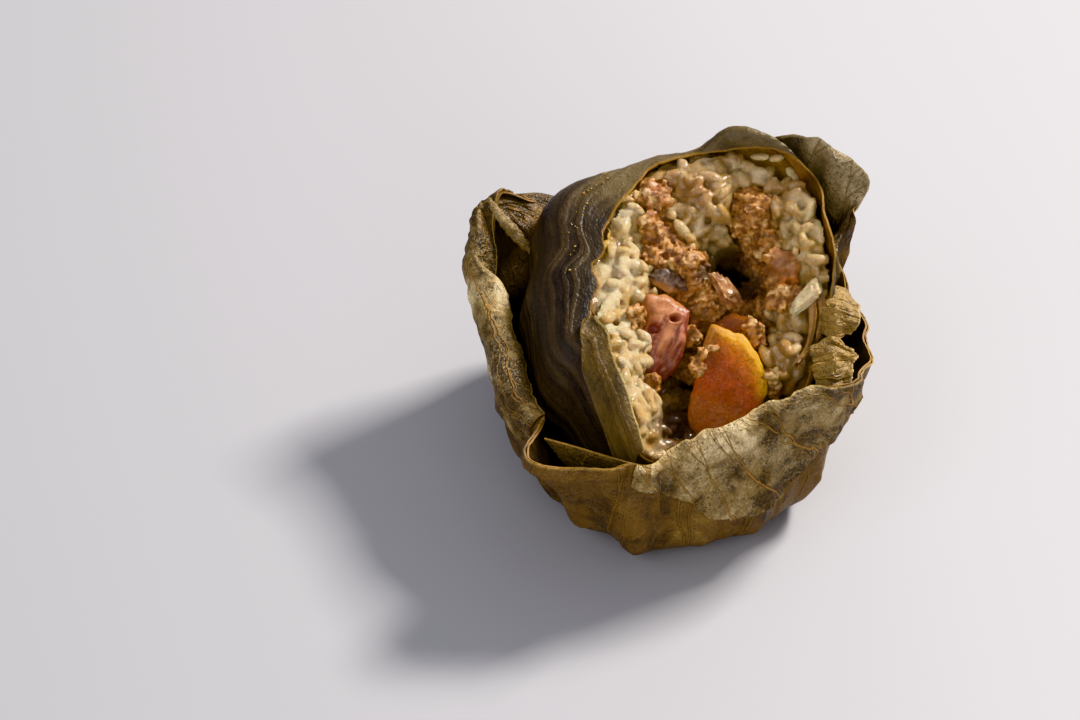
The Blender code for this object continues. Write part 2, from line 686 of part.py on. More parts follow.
# ---------------------------------------------------------------- rice and fillings
def make_rice_core():
    """The rice that fills the leaf, with a torn crater in its top."""
    angles = ring_angles(AROUND_RICE)
    fill = around(INNER_LEAF, angles)[:, 4]
    flank = [inner_skin(angles, fill * k / 6.0) for k in range(7)]
    grid = np.stack(base_rings(angles, NEST) + flank, axis=1)
    normals = skin_normals(grid, closed=True)
    normals[:, :2] = (0.0, 0.0, -1.0)
    grid = grid - (NEST + CORE_GAP) * normals
    edge = grid[:, -1]
    low, high = around(CRATER, angles).T
    verts = [grid[:, 0].mean(axis=0)]
    for k in range(1, grid.shape[1]):
        verts.extend(grid[:, k])
    for climb in CRATER_CLIMBS:
        part = low + (np.minimum(high, CRATER_REACH) - low) * climb
        xy = CRATER_HUB + part[:, None] * (edge[:, :2] - CRATER_HUB)
        height = CRATER_FLOOR + (edge[:, 2] - CRATER_FLOOR) * smooth_step(0.0, 1.0, climb)
        verts.extend(np.column_stack([xy, height]))
    verts.extend(np.column_stack([
        CRATER_HUB + 0.5 * low[:, None] * (edge[:, :2] - CRATER_HUB), np.full(AROUND_RICE, CRATER_FLOOR),
    ]))
    count = grid.shape[1] + len(CRATER_CLIMBS) + 1
    faces = bowl_faces(count, AROUND_RICE, 0)
    top = len(verts)
    verts.append(np.array([*CRATER_HUB, CRATER_FLOOR]))
    last = 1 + (count - 2) * AROUND_RICE
    for i in range(AROUND_RICE):
        faces.append((last + i, last + (i + 1) % AROUND_RICE, top))
    return new_object("rice", verts, faces, RICE_COLOUR)


def make_room():
    """The space inside the inner leaf, open at its mouth up to a high lid: rice stays in it."""
    angles = ring_angles(AROUND_INNER)
    rings = base_rings(angles, NEST)
    rings += [inner_skin(angles, np.full(AROUND_INNER, rise)) for rise in INNER_RISES]
    grid = np.stack(rings, axis=1)
    normals = skin_normals(grid, closed=True)
    normals[:, :2] = (0.0, 0.0, -1.0)
    grid = grid - (LEAF + ROOM_GAP) * normals
    lid = grid[:, -1].copy()
    lid[:, 2] = ROOM_LID
    grid = np.concatenate([grid, lid[:, None]], axis=1)
    verts = [grid[:, 0].mean(axis=0)]
    for k in range(1, grid.shape[1]):
        verts.extend(grid[:, k])
    faces = bowl_faces(grid.shape[1], AROUND_INNER, 0)
    faces.append(tuple(1 + (grid.shape[1] - 2) * AROUND_INNER + i for i in range(AROUND_INNER)))
    return new_object("room", verts, faces, RICE_COLOUR)


def filling_pieces(grow):
    """The pork, yolk and mushroom pieces, each larger all round by grow."""
    tag = "cut_" if grow else ""
    pieces = [
        lump(tag + "cured_pork", PORK_PLACE, PORK_HALF, 5, grow, rough=0.3, turn=PORK_TURN, square=0.7,
             taper=PORK_TAPER),
        lump(tag + "mushroom_slice", MUSHROOM_PLACE, MUSHROOM_HALF, 8, grow, rough=0.3,
             turn=MUSHROOM_TURN, square=0.8),
        slice_solid(tag + "egg_yolk", YOLK_COLOUR, grow, YOLK_PLACE, YOLK_TURN, YOLK_OUTLINE,
                    YOLK_THICKNESS),
        slice_solid(tag + "egg_yolk_sliver", SLIVER_COLOUR, grow, SLIVER_PLACE, SLIVER_TURN,
                    SLIVER_OUTLINE, SLIVER_THICKNESS),
    ]
    recolour(pieces[0], PORK_COLOUR, 0.35)
    recolour(pieces[1], MUSHROOM_COLOUR, 0.4)
    return pieces


def add_grains(rice):
    """Fuse whole grains of rice onto the torn face, where it isn't too near the leaf."""
    draw = random.Random(GRAIN_SEED)
    rim = inner_skin(ring_angles(72), np.full(72, 2.0))[:, :2]
    mesh = rice.data
    mesh.calc_loop_triangles()
    spots = []
    for triangle in mesh.loop_triangles:
        middle = Vector(triangle.center) / MM
        spots.append((triangle.area if triangle.normal.z > 0.0 else 0.0, middle, triangle.normal.copy()))
    grains = []
    tries = 0
    while len(grains) < GRAIN_COUNT and tries < GRAIN_TRIES:
        tries += 1
        _, middle, normal = draw.choices(spots, weights=[spot[0] for spot in spots])[0]
        flat = np.array(middle[:2])
        if np.linalg.norm(rim - flat, axis=1).min() < GRAIN_APART * GRAIN_LENGTH:
            continue
        if any((middle - other).length < GRAIN_APART * GRAIN_LENGTH for other in grains):
            continue
        if middle.x > GRAIN_FREE[0] and middle.y < GRAIN_FREE[1]:
            continue
        grains.append(middle)
        align = normal.to_track_quat("Z", "Y") @ Euler((0, 0, draw.uniform(0, math.pi))).to_quaternion()
        grain = lump(f"grain_{len(grains)}", (0, 0, 0), (1, 1, 1), 0, detail=1, rough=0.0)
        half = Vector((GRAIN_LENGTH, GRAIN_WIDTH, GRAIN_WIDTH)) * (0.5 * draw.uniform(0.85, 1.1))
        for vert in grain.data.vertices:
            local = Vector([vert.co[i] / MM * half[i] for i in range(3)])
            vert.co = (middle + GRAIN_SINK * GRAIN_WIDTH * normal + align @ local) * MM
        yield grain


def crumbs(grow):
    """Small crumbs of pork on the upper sides of the clumps."""
    draw = random.Random(CRUMB_SEED)
    for number in range(CRUMB_COUNT):
        row = draw.choice(MINCE_CLUMPS[1:])
        turn = draw.uniform(0.0, 2.0 * math.pi)
        rise = draw.uniform(0.1, 1.2)
        way = (math.cos(turn) * math.cos(rise), math.sin(turn) * math.cos(rise), math.sin(rise))
        spot = [row[i] + 0.95 * row[3 + i] * way[i] for i in range(3)]
        size = draw.uniform(*CRUMB_SIZES)
        yield lump(f"crumb_{number}", spot, (size, 0.9 * size, 0.8 * size), number, grow, detail=1)


def make_mince(grow):
    """The minced pork as one body of clumps and crumbs."""
    clumps = []
    for number, row in enumerate(MINCE_CLUMPS):
        clumps.append(lump(f"clump_{number}", row[:3], row[3:], number, grow))
    clumps.extend(crumbs(grow))
    body = clumps[0]
    body.name = "cut_mince" if grow else "mince_filling"
    combine(body, clumps[1:], "UNION")
    return body


def main():
    for obj in list(bpy.data.objects):
        bpy.data.objects.remove(obj, do_unlink=True)
    make_outer_leaf()
    make_inner_leaf()
    make_leaf_flap()
    make_leaf_fold()
    make_leaf_pleat()
    make_leaf_shreds()
    make_veins()
    rice = make_rice_core()
    rice_lumps = [lump(f"rice_{n}", row[:3], row[3:], 40 + n) for n, row in enumerate(RICE_CLUMPS)]
    combine(rice, rice_lumps, "UNION")
    combine(rice, list(add_grains(rice)), "UNION")
    combine(rice, [make_room()], "INTERSECT")
    mince = make_mince(0.0)
    combine(mince, filling_pieces(GAP), "DIFFERENCE")
    combine(rice, [make_mince(GAP)] + filling_pieces(GAP), "DIFFERENCE")
    filling_pieces(0.0)


main()
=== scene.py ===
# %% [markdown]
# # A lotus leaf parcel of sticky rice, torn open
#
# This script dresses a simple solid model of the parcel: real rice grains, crumbly
# mince, fibrous pork, a grainy salted yolk, and thin, veined, crumpled leaves. Each
# step first says what the real thing is like, and then builds it.
#
# Lengths are worked out in millimetres, because food is small, and become metres in
# the meshes. Most shapes are described round one upright axis: an angle (0 along +X,
# 90 along +Y), a radius from the axis, and a height above the table.

# %% Load the solid model
import itertools
import math
import random

import bmesh
import bpy
import numpy as np
from mathutils import Euler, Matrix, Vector
from mathutils.bvhtree import BVHTree
from mathutils.kdtree import KDTree


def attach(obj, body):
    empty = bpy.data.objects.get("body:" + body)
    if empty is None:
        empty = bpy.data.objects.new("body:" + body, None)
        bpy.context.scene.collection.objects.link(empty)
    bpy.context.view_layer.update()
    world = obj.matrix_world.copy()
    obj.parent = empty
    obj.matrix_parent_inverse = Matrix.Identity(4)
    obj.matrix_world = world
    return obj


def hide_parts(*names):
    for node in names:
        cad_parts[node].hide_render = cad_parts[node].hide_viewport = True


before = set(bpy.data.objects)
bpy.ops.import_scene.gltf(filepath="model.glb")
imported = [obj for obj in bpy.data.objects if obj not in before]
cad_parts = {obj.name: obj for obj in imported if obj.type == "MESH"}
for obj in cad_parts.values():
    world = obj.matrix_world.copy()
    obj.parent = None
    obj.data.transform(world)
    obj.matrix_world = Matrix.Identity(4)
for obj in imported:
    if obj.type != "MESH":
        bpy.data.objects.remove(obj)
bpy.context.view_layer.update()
MM = 0.001

# %% [markdown]
# ## Noise for shapes
#
# Nothing on a parcel is smooth for long. Value noise gives each corner of a grid of
# cells a random number and blends them, so nearby points move together and far ones
# don't. Written with numpy it moves a hundred thousand points at once, and the same
# seed always gives the same leaf.

# %% Noise helpers
HASH = np.array([73856093, 19349663, 83492791], dtype=np.int64)


def soft_noise(points, size, seed=0):
    """Smooth noise from -1 to 1 at each point, with bumps about `size` apart."""
    scaled = np.asarray(points, dtype=float) / size
    cell = np.floor(scaled).astype(np.int64)
    part = scaled - cell
    part = part * part * (3.0 - 2.0 * part)
    total = np.zeros(cell.shape[:-1])
    for corner in itertools.product((0, 1), repeat=3):
        mixed = (cell + np.array(corner)) @ HASH + seed * 2654435761
        mixed = ((mixed ^ (mixed >> 13)) * 1274126177) & 0x7FFFFFFF
        mixed = mixed ^ (mixed >> 11)
        weight = np.prod(np.where(corner, part, 1.0 - part), axis=-1)
        total += weight * ((mixed % 65536) / 32768.0 - 1.0)
    return total


def ridged_noise(points, size, seed=0):
    """Noise from 0 to 1 with narrow ridges, like paper that was crumpled and opened."""
    return (1.0 - np.abs(soft_noise(points, size, seed))) ** 3


def smooth_step(low, high, value):
    """0 below low, 1 above high, with a smooth climb between."""
    part = np.clip((value - low) / (high - low), 0.0, 1.0)
    return part * part * (3.0 - 2.0 * part)


def between(low, high, soft, values):
    """1 inside a span of values, with soft ends."""
    return smooth_step(low - soft, low + soft, values) * (1.0 - smooth_step(high - soft, high + soft, values))


print("noise at three points:", soft_noise(np.array([[0, 0, 0], [1, 2, 3], [9, 9, 9.0]]), 2.0))

# %% [markdown]
# ## The forms of the two leaves
#
# The parcel has an inner leaf, wrapped tight and torn open at the top, and an outer
# leaf, laid open round it like a nest. Both are described by a row of numbers for a
# few angles, with a smooth closed curve between the rows. The solid model was made
# from the same rows, so these finer leaves sit just where its plain ones do.

# %% Rows of the leaves
# The upright axis, how far the inner leaf lies inside the outer one, the radius of the flat
# base, how high up the girth is, and how square the flanks are (less is squarer).
CENTRE = np.array([-4.0, -7.0])
NEST = 1.25
FLAT_RADIUS = 27.0
GIRTH_RISE = 0.58
FULLNESS = 0.8

# Inner leaf: angle, radius at the girth, radius and height of the torn edge, turn of the
# flank from girth to edge, and how square its shoulder is (less is squarer).
INNER_LEAF = (
    (0, 36.2, 35.8, 45, 84, 0.8),
    (8, 37.4, 36.6, 60, 84, 0.8),
    (18, 38.6, 37.8, 66, 84, 0.8),
    (30, 40.2, 39.0, 69, 88, 0.8),
    (42, 42.4, 40.6, 71, 98, 0.8),
    (56, 44.4, 41.0, 71.5, 116, 0.8),
    (68, 45.2, 39.0, 70.5, 126, 0.8),
    (77, 45.0, 37.5, 69, 124, 0.8),
    (86, 44.0, 36.8, 67, 102, 0.8),
    (100, 44.5, 34.5, 66, 92, 0.7),
    (119, 47.0, 29.5, 63, 90, 0.5),
    (131, 48.2, 26.0, 61, 90, 0.42),
    (143, 45.0, 23.0, 60, 90, 0.5),
    (160, 40.0, 20.8, 58, 90, 0.7),
    (186, 37.0, 19.5, 56, 90, 0.8),
    (208, 36.2, 22.5, 53, 90, 0.8),
    (221, 35.6, 23.8, 52, 90, 0.8),
    (234, 35.6, 27.0, 50, 90, 0.8),
    (246, 37.4, 32.0, 47, 90, 0.8),
    (252, 39.4, 36.2, 43, 90, 0.8),
    (258, 40.8, 39.8, 37, 88, 0.8),
    (264, 39.0, 38.4, 34, 84, 0.8),
    (276, 36.0, 35.5, 33, 84, 0.8),
    (295, 34.4, 34.0, 32, 84, 0.8),
    (316, 35.4, 35.0, 33, 84, 0.8),
    (334, 36.4, 36.0, 36, 84, 0.8),
    (347, 36.2, 35.8, 40, 84, 0.8),
)

# Outer leaf: angle, radius and height of its crest, radius of the rolled edge (inward is
# positive) and the turn of that roll.
OUTER_LEAF = (
    (2, 44.0, 44, -2.5, 60),
    (13, 43.4, 45, -2.5, 50),
    (20, 41.8, 50, -2.5, 50),
    (27, 42.6, 60, -3.5, 90),
    (34, 45.0, 73, -4.5, 115),
    (43, 45.8, 77, -3.0, 90),
    (53, 46.8, 76, -2.0, 60),
    (63, 48.0, 70, -2.0, 40),
    (75, 47.8, 58, -2.0, 40),
    (95, 47.5, 47, -2.0, 40),
    (118, 51.0, 46, -2.0, 30),
    (132, 54.5, 49, 2.0, 30),
    (143, 56.8, 56, 3.6, 70),
    (150, 58.4, 56, 4.4, 110),
    (160, 55.6, 48, 4.4, 150),
    (170, 49.4, 44, 4.0, 170),
    (182, 45.8, 42, 3.2, 175),
    (200, 45.6, 40, 3.0, 170),
    (214, 46.0, 38, 2.6, 150),
    (224, 48.0, 37, 2.0, 100),
    (233, 56.4, 40, 1.5, 60),
    (241, 55.0, 40, 1.5, 60),
    (250, 51.0, 40, 1.5, 70),
    (261, 47.6, 40, 1.8, 80),
    (268, 44.6, 40, 2.2, 90),
    (280, 39.2, 42, 2.6, 90),
    (297, 37.4, 44, 2.6, 90),
    (314, 38.8, 46, 2.4, 90),
    (326, 41.0, 47, 1.8, 70),
    (338, 44.2, 44, -1.8, 30),
    (352, 45.0, 43, -2.5, 60),
)
OUTER_FLARE = 2.2
LIP = 3.0

# Pleats of the outer leaf's wall: angle, how far they stand out, half width in degrees.
PLEATS = (
    (12, 1.6, 7), (50, 2.2, 9), (68, 1.6, 6), (86, 3.0, 10), (104, 1.8, 6), (124, 3.2, 9),
    (150, 2.4, 8), (175, 1.8, 7), (192, 2.4, 7), (214, 1.6, 6), (236, 2.6, 8), (258, 1.8, 6),
    (284, 1.4, 6), (306, 2.0, 8), (333, 2.2, 7), (352, 1.4, 6),
)
print("rows:", len(INNER_LEAF), "inner,", len(OUTER_LEAF), "outer,", len(PLEATS), "pleats")

# %% [markdown]
# ## From rows to surfaces
#
# `around` reads a table at any angle. The two skins then turn an angle and a rise into a
# point: a rise from 0 to 1 climbs the wall, and from 1 to 2 goes over the shoulder to the
# torn edge (inner leaf), or round the rolled margin (outer leaf).

# %% Skin formulas
def around(table, angles):
    """Read a table of (angle, values...) at any angles, by a smooth closed curve."""
    rows = np.array(table, dtype=float)
    known = np.concatenate([rows[:, 0] - 360.0, rows[:, 0], rows[:, 0] + 360.0])
    values = np.tile(rows[:, 1:], (3, 1))
    step = np.diff(known)[:, None]
    rise = np.diff(values, axis=0) / step
    slope = np.zeros_like(values)
    slope[1:-1] = (rise[:-1] * step[1:] + rise[1:] * step[:-1]) / (step[1:] + step[:-1])
    angles = np.asarray(angles, dtype=float) % 360.0
    cell = np.clip(np.searchsorted(known, angles, side="right") - 1, 0, len(known) - 2)
    width = step[cell]
    part = ((angles - known[cell])[:, None]) / width
    start, end = values[cell], values[cell + 1]
    return (
        start * (2 * part ** 3 - 3 * part ** 2 + 1)
        + end * (3 * part ** 2 - 2 * part ** 3)
        + slope[cell] * width * (part ** 3 - 2 * part ** 2 + part)
        + slope[cell + 1] * width * (part ** 3 - part ** 2)
    )


def place(angles, radius, height):
    """Points at angles, radii and heights round the parcel's axis."""
    turn = np.radians(angles)
    return np.stack([CENTRE[0] + radius * np.cos(turn), CENTRE[1] + radius * np.sin(turn), height], -1)


def creases(angles, height):
    """The soft lengthwise creases of both leaves: a small change of radius."""
    turn = np.radians(angles)
    depth = 0.55 * np.clip(height / 12.0, 0.0, 1.0)
    return depth * (np.sin(9 * turn + 1.4 * np.sin(2 * turn)) + 0.5 * np.sin(17 * turn + 0.05 * height))


def fuller(wave, power=FULLNESS):
    """A sine made squarer, so that the flanks are full like a folded packet's."""
    return np.sign(wave) * np.abs(wave) ** power


def inner_skin(angles, rises):
    """Outside of the inner leaf: rise 0 to 1 up to the girth, 1 to 2 over to the torn edge."""
    girth, edge, top, turn, square = around(INNER_LEAF, angles).T
    turn = np.radians(turn)
    waist = GIRTH_RISE * top
    crown = waist + (top - waist) / fuller(np.sin(turn), square)
    low = np.radians(90.0 * np.clip(rises, 0.0, 1.0))
    high = turn * np.clip(rises - 1.0, 0.0, 1.0)
    radius = FLAT_RADIUS + (girth - FLAT_RADIUS) * fuller(np.sin(low))
    inward = (1.0 - fuller(np.cos(high), square)) / (1.0 - fuller(np.cos(turn), square))
    radius = radius - (girth - edge) * inward
    height = NEST + (waist - NEST) * (1.0 - fuller(np.cos(low)))
    height = height + (crown - waist) * fuller(np.sin(high), square)
    return place(angles, radius + creases(angles, height), height)


def pleats(angles, part):
    """How far the outer leaf's pleats stand out, part of the way up its wall."""
    out = np.zeros_like(part)
    for angle, depth, width in PLEATS:
        away = np.abs((angles - angle + 180.0) % 360.0 - 180.0) / width
        out = out + depth * np.clip(1.0 - away, 0.0, 1.0)
    return out * np.sin(math.pi * np.clip(part, 0.0, 1.0)) ** 0.8


def outer_skin(angles, rise):
    """Outside of the outer leaf: rise 0 to 1 up the wall, 1 to 2 round the rolled margin."""
    girth, _, top, _, _ = around(INNER_LEAF, angles).T
    crest, height, roll, turn = around(OUTER_LEAF, angles).T
    turn = np.radians(turn)
    waist = GIRTH_RISE * top
    lip = np.maximum(0.0, LIP - np.abs(roll) * turn)
    shoulder = height - np.abs(roll) * np.sin(np.minimum(turn, math.pi / 2)) - lip
    climb = np.clip(rise, 0.0, 1.0)
    level = shoulder * climb ** 2
    snug = girth + NEST + 0.4
    below = np.clip(1.0 - level / waist, 0.0, 1.0) ** (2.0 / FULLNESS)
    radius = FLAT_RADIUS + (snug - FLAT_RADIUS) * (1.0 - below) ** (FULLNESS / 2.0)
    radius = radius + (crest - snug) * climb ** (2.0 * OUTER_FLARE)
    radius = radius + creases(angles, level) + pleats(angles, climb)
    bend = turn * np.clip(rise - 1.0, 0.0, 1.0)
    radius = radius - roll * (1.0 - np.cos(bend))
    level = level + np.abs(roll) * np.sin(bend) + lip * np.clip(rise - 1.0, 0.0, 1.0)
    return place(angles, radius, level)


def skin_normals(grid, closed=False):
    """Unit normals of a grid of points [around, up], pointing out of the leaf."""
    if closed:
        along = np.roll(grid, -1, axis=0) - np.roll(grid, 1, axis=0)
    else:
        along = np.gradient(grid, axis=0)
    normal = np.cross(along, np.gradient(grid, axis=1))
    length = np.linalg.norm(normal, axis=-1, keepdims=True)
    return normal / np.maximum(length, 1e-9)


print("inner leaf's edge at the back:", inner_skin(np.array([90.0]), np.array([2.0])))

# %% [markdown]
# ## Camera, light and table
#
# The photograph looks down at the parcel from the front with a long lens, a little
# tilted. A large warm key light stands at the back right, so the left flank falls into
# shade and the moist rice and fat sparkle; a weak cool fill keeps the shade readable.

# %% Camera
EYE = Vector((-0.036976, -0.739390, 0.662583))
LOOK_DOWN = 0.7115
TILT = 0.0447
LENS = 132.27

ahead = Vector((0.0, math.cos(LOOK_DOWN), -math.sin(LOOK_DOWN)))
level_right = Vector((1.0, 0.0, 0.0))
level_up = level_right.cross(ahead)
right = level_right * math.cos(TILT) + level_up * math.sin(TILT)
up = level_up * math.cos(TILT) - level_right * math.sin(TILT)


def add_object(name, data):
    """Put a mesh, a light or a camera in the scene."""
    thing = bpy.data.objects.new(name, data)
    bpy.context.scene.collection.objects.link(thing)
    return thing


camera_data = bpy.data.cameras.new("camera")
camera_data.lens = LENS
camera_data.sensor_width = 36.0
camera_data.clip_start = 0.01
camera = add_object("camera", camera_data)
for column, axis in enumerate((right, up, -ahead, EYE)):
    for row in range(3):
        camera.matrix_world[row][column] = axis[row]
bpy.context.scene.camera = camera
print("camera at", tuple(round(v, 3) for v in camera.location))

# %% Table and lights
def area_light(name, at, target, size, power, colour):
    """A square soft light that shines from a place towards its target."""
    data = bpy.data.lights.new(name, "AREA")
    data.size = size
    data.energy = power
    data.color = colour
    lamp = add_object(name, data)
    lamp.location = at
    lamp.rotation_euler = (Vector(target) - Vector(at)).to_track_quat("-Z", "Y").to_euler()


area_light("key", (0.62, 0.52, 0.80), (0, 0, 0.04), 0.26, 24.0, (1.0, 0.955, 0.89))
area_light("fill", (-0.70, -0.75, 0.70), (0, 0, 0.03), 0.9, 5.0, (0.90, 0.94, 1.0))
area_light("front", (0.25, -0.95, 0.45), (0, 0, 0.03), 0.6, 3.0, (1.0, 0.98, 0.95))

world = bpy.data.worlds.new("studio")
bpy.context.scene.world = world
world.use_nodes = True
background = world.node_tree.nodes["Background"].inputs
background["Color"].default_value = (0.93, 0.93, 1.0, 1.0)
background["Strength"].default_value = 0.46

bpy.context.scene.view_settings.view_transform = "Khronos PBR Neutral"

table_mesh = bpy.data.meshes.new("table")
table_mesh.from_pydata([(-3, -3, 0), (3, -3, 0), (3, 3, 0), (-3, 3, 0)], [], [(0, 1, 2, 3)])
table = add_object("table", table_mesh)
print("lights:", [light.name for light in bpy.data.lights])

# %% [markdown]
# ## Small helpers for materials
#
# Every finish below is a node tree: patterns make masks, masks mix colours, and the same
# patterns push the surface in and out through a Bump node. `tone` lets colours be written
# as they look on a screen, from 0 to 255.

# %% Node helpers
def tone(red, green, blue):
    """A colour written as screen values, turned into the linear values that nodes use."""
    screen = [value / 255.0 for value in (red, green, blue)]
    return (*[v / 12.92 if v <= 0.04045 else ((v + 0.055) / 1.055) ** 2.4 for v in screen], 1.0)


def fill(tree, node, inputs):
    """Set or link a node's inputs, by name or number."""
    for key, value in dict(inputs).items():
        if isinstance(value, bpy.types.NodeSocket):
            tree.links.new(value, node.inputs[key])
        else:
            node.inputs[key].default_value = value
    return node


def wire(tree, kind, inputs=(), **settings):
    """Add a node, set its properties, and fill its inputs."""
    node = tree.nodes.new(kind)
    for key, value in settings.items():
        setattr(node, key, value)
    return fill(tree, node, inputs)


def calculate(tree, operation, *values):
    """A Math node on sockets or plain numbers; gives back its output socket."""
    return wire(tree, "ShaderNodeMath", enumerate(values), operation=operation).outputs[0]


def times(tree, first, second):
    """One value times another."""
    return calculate(tree, "MULTIPLY", first, second)


def plus(tree, first, second):
    """The sum of two values."""
    return calculate(tree, "ADD", first, second)


def apart(tree, first, second):
    """How far two values are apart."""
    return calculate(tree, "ABSOLUTE", calculate(tree, "SUBTRACT", first, second))


def fade(tree, value, low, high, from_value=0.0, to_value=1.0):
    """Go smoothly from one value to another while the input climbs from low to high."""
    inputs = {"Value": value, "From Min": low, "From Max": high, "To Min": from_value, "To Max": to_value}
    return wire(tree, "ShaderNodeMapRange", inputs, interpolation_type="SMOOTHSTEP").outputs[0]


def mix_colour(tree, share, first, second):
    """Mix two colours by a share from 0 to 1."""
    return wire(tree, "ShaderNodeMix", {0: share, 6: first, 7: second}, data_type="RGBA").outputs[2]


def tint(tree, colour, mask, share, shade):
    """Cover a colour with another one where a mask is high, up to a share of it."""
    return mix_colour(tree, times(tree, mask, share), colour, tone(*shade))


def read(tree, name):
    """A named value that the mesh carries at its points."""
    return wire(tree, "ShaderNodeAttribute", attribute_name=name).outputs["Fac"]


def stained(tree, colour, layers):
    """Cover a colour by the mesh's own masks in turn: each has a name, a share and a shade."""
    for name, share, shade in layers:
        colour = tint(tree, colour, read(tree, name), share, shade)
    return colour


def millimetres(tree):
    """Object coordinates in millimetres, so that pattern sizes can be real sizes."""
    place_node = wire(tree, "ShaderNodeTexCoord")
    inputs = {0: place_node.outputs["Object"], "Scale": 1000.0}
    return wire(tree, "ShaderNodeVectorMath", inputs, operation="SCALE").outputs[0]


def spots(tree, where, size, detail=3.0, roughness=0.55, distortion=0.0):
    """Cloudy noise from 0 to 1 with patches about `size` millimetres across."""
    inputs = {"Vector": where, "Scale": 1.0 / size, "Detail": detail, "Roughness": roughness,
              "Distortion": distortion}
    return wire(tree, "ShaderNodeTexNoise", inputs).outputs["Fac"]


def patches(tree, where, noise, *span):
    """Soft-edged patches: cloudy noise (its size, detail, roughness), faded over a span."""
    return fade(tree, spots(tree, where, *noise), *span)


def add_sockets(tree, way, kind, *names):
    """Give a node group inputs or outputs of one kind."""
    for name in names:
        tree.interface.new_socket(name, in_out=way, socket_type=f"NodeSocket{kind}")


def new_material(name):
    """An empty material with a Principled shader; gives back material, tree and shader."""
    material = bpy.data.materials.new(name)
    material.use_nodes = True
    tree = material.node_tree
    return material, tree, tree.nodes["Principled BSDF"]


def bump(tree, height, depth):
    """A normal that pushes the surface in and out by height times depth (in millimetres)."""
    return wire(tree, "ShaderNodeBump", {"Height": height, "Distance": depth * MM, "Strength": 1.0}).outputs[0]


table_material, tree, shader = new_material("pale table")
fill(tree, shader, {"Base Color": tone(168, 167, 171), "Roughness": 0.55})
table_mesh.materials.append(table_material)
print("helpers ready, and a material:", table_material.name)

# %% [markdown]
# ## What a lotus leaf's surface shows
#
# The ribs of a lotus leaf run out from its middle and fork again and again; a fine net of
# veins fills the skin between them. Steaming and drying leave cloudy stains and dark
# specks. All the leaf finishes share this, so it is one node group. A rib is drawn where
# a wave that repeats across the leaf is near its middle, and the wave's line is moved
# apart twice, which makes two forks.

# %% Leaf pattern group
LEAF_MASKS = ("Rib", "Net", "Stain", "Specks", "Bloom", "Streaks", "Height")
FORKS = ((0.30, 0.25), (0.66, 0.13))
NETS = ((3.6, 0.06, 0.8), (1.3, 0.13, 0.5))
CRINKLES = ((4.6, 0.07, 1.0), (1.9, 0.09, 0.45))


def leaf_pattern():
    """Masks of ribs, net, stains, specks and streaks, and the height they make."""
    tree = bpy.data.node_groups.new("lotus leaf pattern", "ShaderNodeTree")
    add_sockets(tree, "INPUT", "Float", "Across", "Along", "Spacing", "Rib width")
    add_sockets(tree, "INPUT", "Vector", "Place")
    add_sockets(tree, "OUTPUT", "Float", *LEAF_MASKS)
    across, along, spacing, rib_width, where = tuple(tree.nodes.new("NodeGroupInput").outputs)[:5]

    sway = spots(tree, where, 26.0, 3.0, 0.35)
    sway = times(tree, calculate(tree, "SUBTRACT", sway, 0.5), 0.55)
    count = plus(tree, calculate(tree, "DIVIDE", across, spacing), sway)
    line = apart(tree, calculate(tree, "FRACT", count), 0.5)
    for start, move in FORKS:
        line = apart(tree, line, fade(tree, along, start, 1.25, 0.0, move))
    width = times(tree, rib_width, fade(tree, along, 0.0, 1.0, 1.3, 0.6))
    rib = fade(tree, calculate(tree, "DIVIDE", times(tree, line, spacing), width), 0.25, 1.0, 1.0, 0.0)

    twig = plus(tree, times(tree, count, 4.0), times(tree, along, 2.2))
    twig = times(tree, apart(tree, calculate(tree, "FRACT", twig), 0.5), spacing)
    net = times(tree, fade(tree, twig, 0.2, 1.1, 1.0, 0.0), patches(tree, where, (8.0, 2.0), 0.46, 0.6))
    bent = spots(tree, where, 3.0, 3.0)
    bend = wire(tree, "ShaderNodeCombineXYZ", {0: bent, 1: bent, 2: bent}).outputs[0]
    bend = wire(tree, "ShaderNodeVectorMath", {0: where, 1: bend}, operation="ADD").outputs[0]
    for size, edge, share in NETS:
        cells = wire(tree, "ShaderNodeTexVoronoi", {"Vector": bend, "Scale": 1.0 / size}, feature="DISTANCE_TO_EDGE")
        lines = fade(tree, cells.outputs["Distance"], 0.0, edge, 1.0, 0.0)
        net = calculate(tree, "MAXIMUM", net, times(tree, lines, share))

    stain = spots(tree, where, 13.0, 5.0, 0.62, 0.4)
    cells = wire(tree, "ShaderNodeTexVoronoi", {"Vector": bend, "Scale": 0.95})
    specks = times(tree, fade(tree, cells.outputs["Distance"], 0.10, 0.36, 1.0, 0.0),
                   patches(tree, where, (7.0, 3.0), 0.50, 0.64))
    grime = times(tree, patches(tree, where, (1.6, 6.0, 0.75), 0.52, 0.64),
                  patches(tree, where, (10.0, 3.0), 0.44, 0.62))
    specks = calculate(tree, "MAXIMUM", specks, times(tree, grime, 0.8))
    reach = wire(tree, "ShaderNodeCombineXYZ", {0: across, 1: times(tree, along, 11.0)}).outputs[0]
    streaks = spots(tree, reach, 3.2, 6.0, 0.62)
    # Bloom and sheen: fine pale speckles, partly wax bloom and partly painted sheen.
    bloom_and_sheen = times(tree, patches(tree, where, (0.55, 4.0, 0.7), 0.50, 0.62),
                  patches(tree, where, (9.0, 3.0), 0.42, 0.62))

    crinkle = 0.0
    for size, sharp, share in CRINKLES:
        fold = fade(tree, apart(tree, spots(tree, bend, size, 3.0, 0.5), 0.5), 0.0, sharp, 1.0, 0.0)
        crinkle = plus(tree, crinkle, times(tree, fold, share))
    height = rib
    for part, share in ((net, 0.33), (spots(tree, where, 0.7, 3.0), 0.30), (streaks, 0.35), (crinkle, 0.42)):
        height = plus(tree, height, times(tree, part, share))
    masks = zip(LEAF_MASKS, (rib, net, stain, specks, bloom_and_sheen, streaks, height))
    fill(tree, tree.nodes.new("NodeGroupOutput"), masks)
    return tree


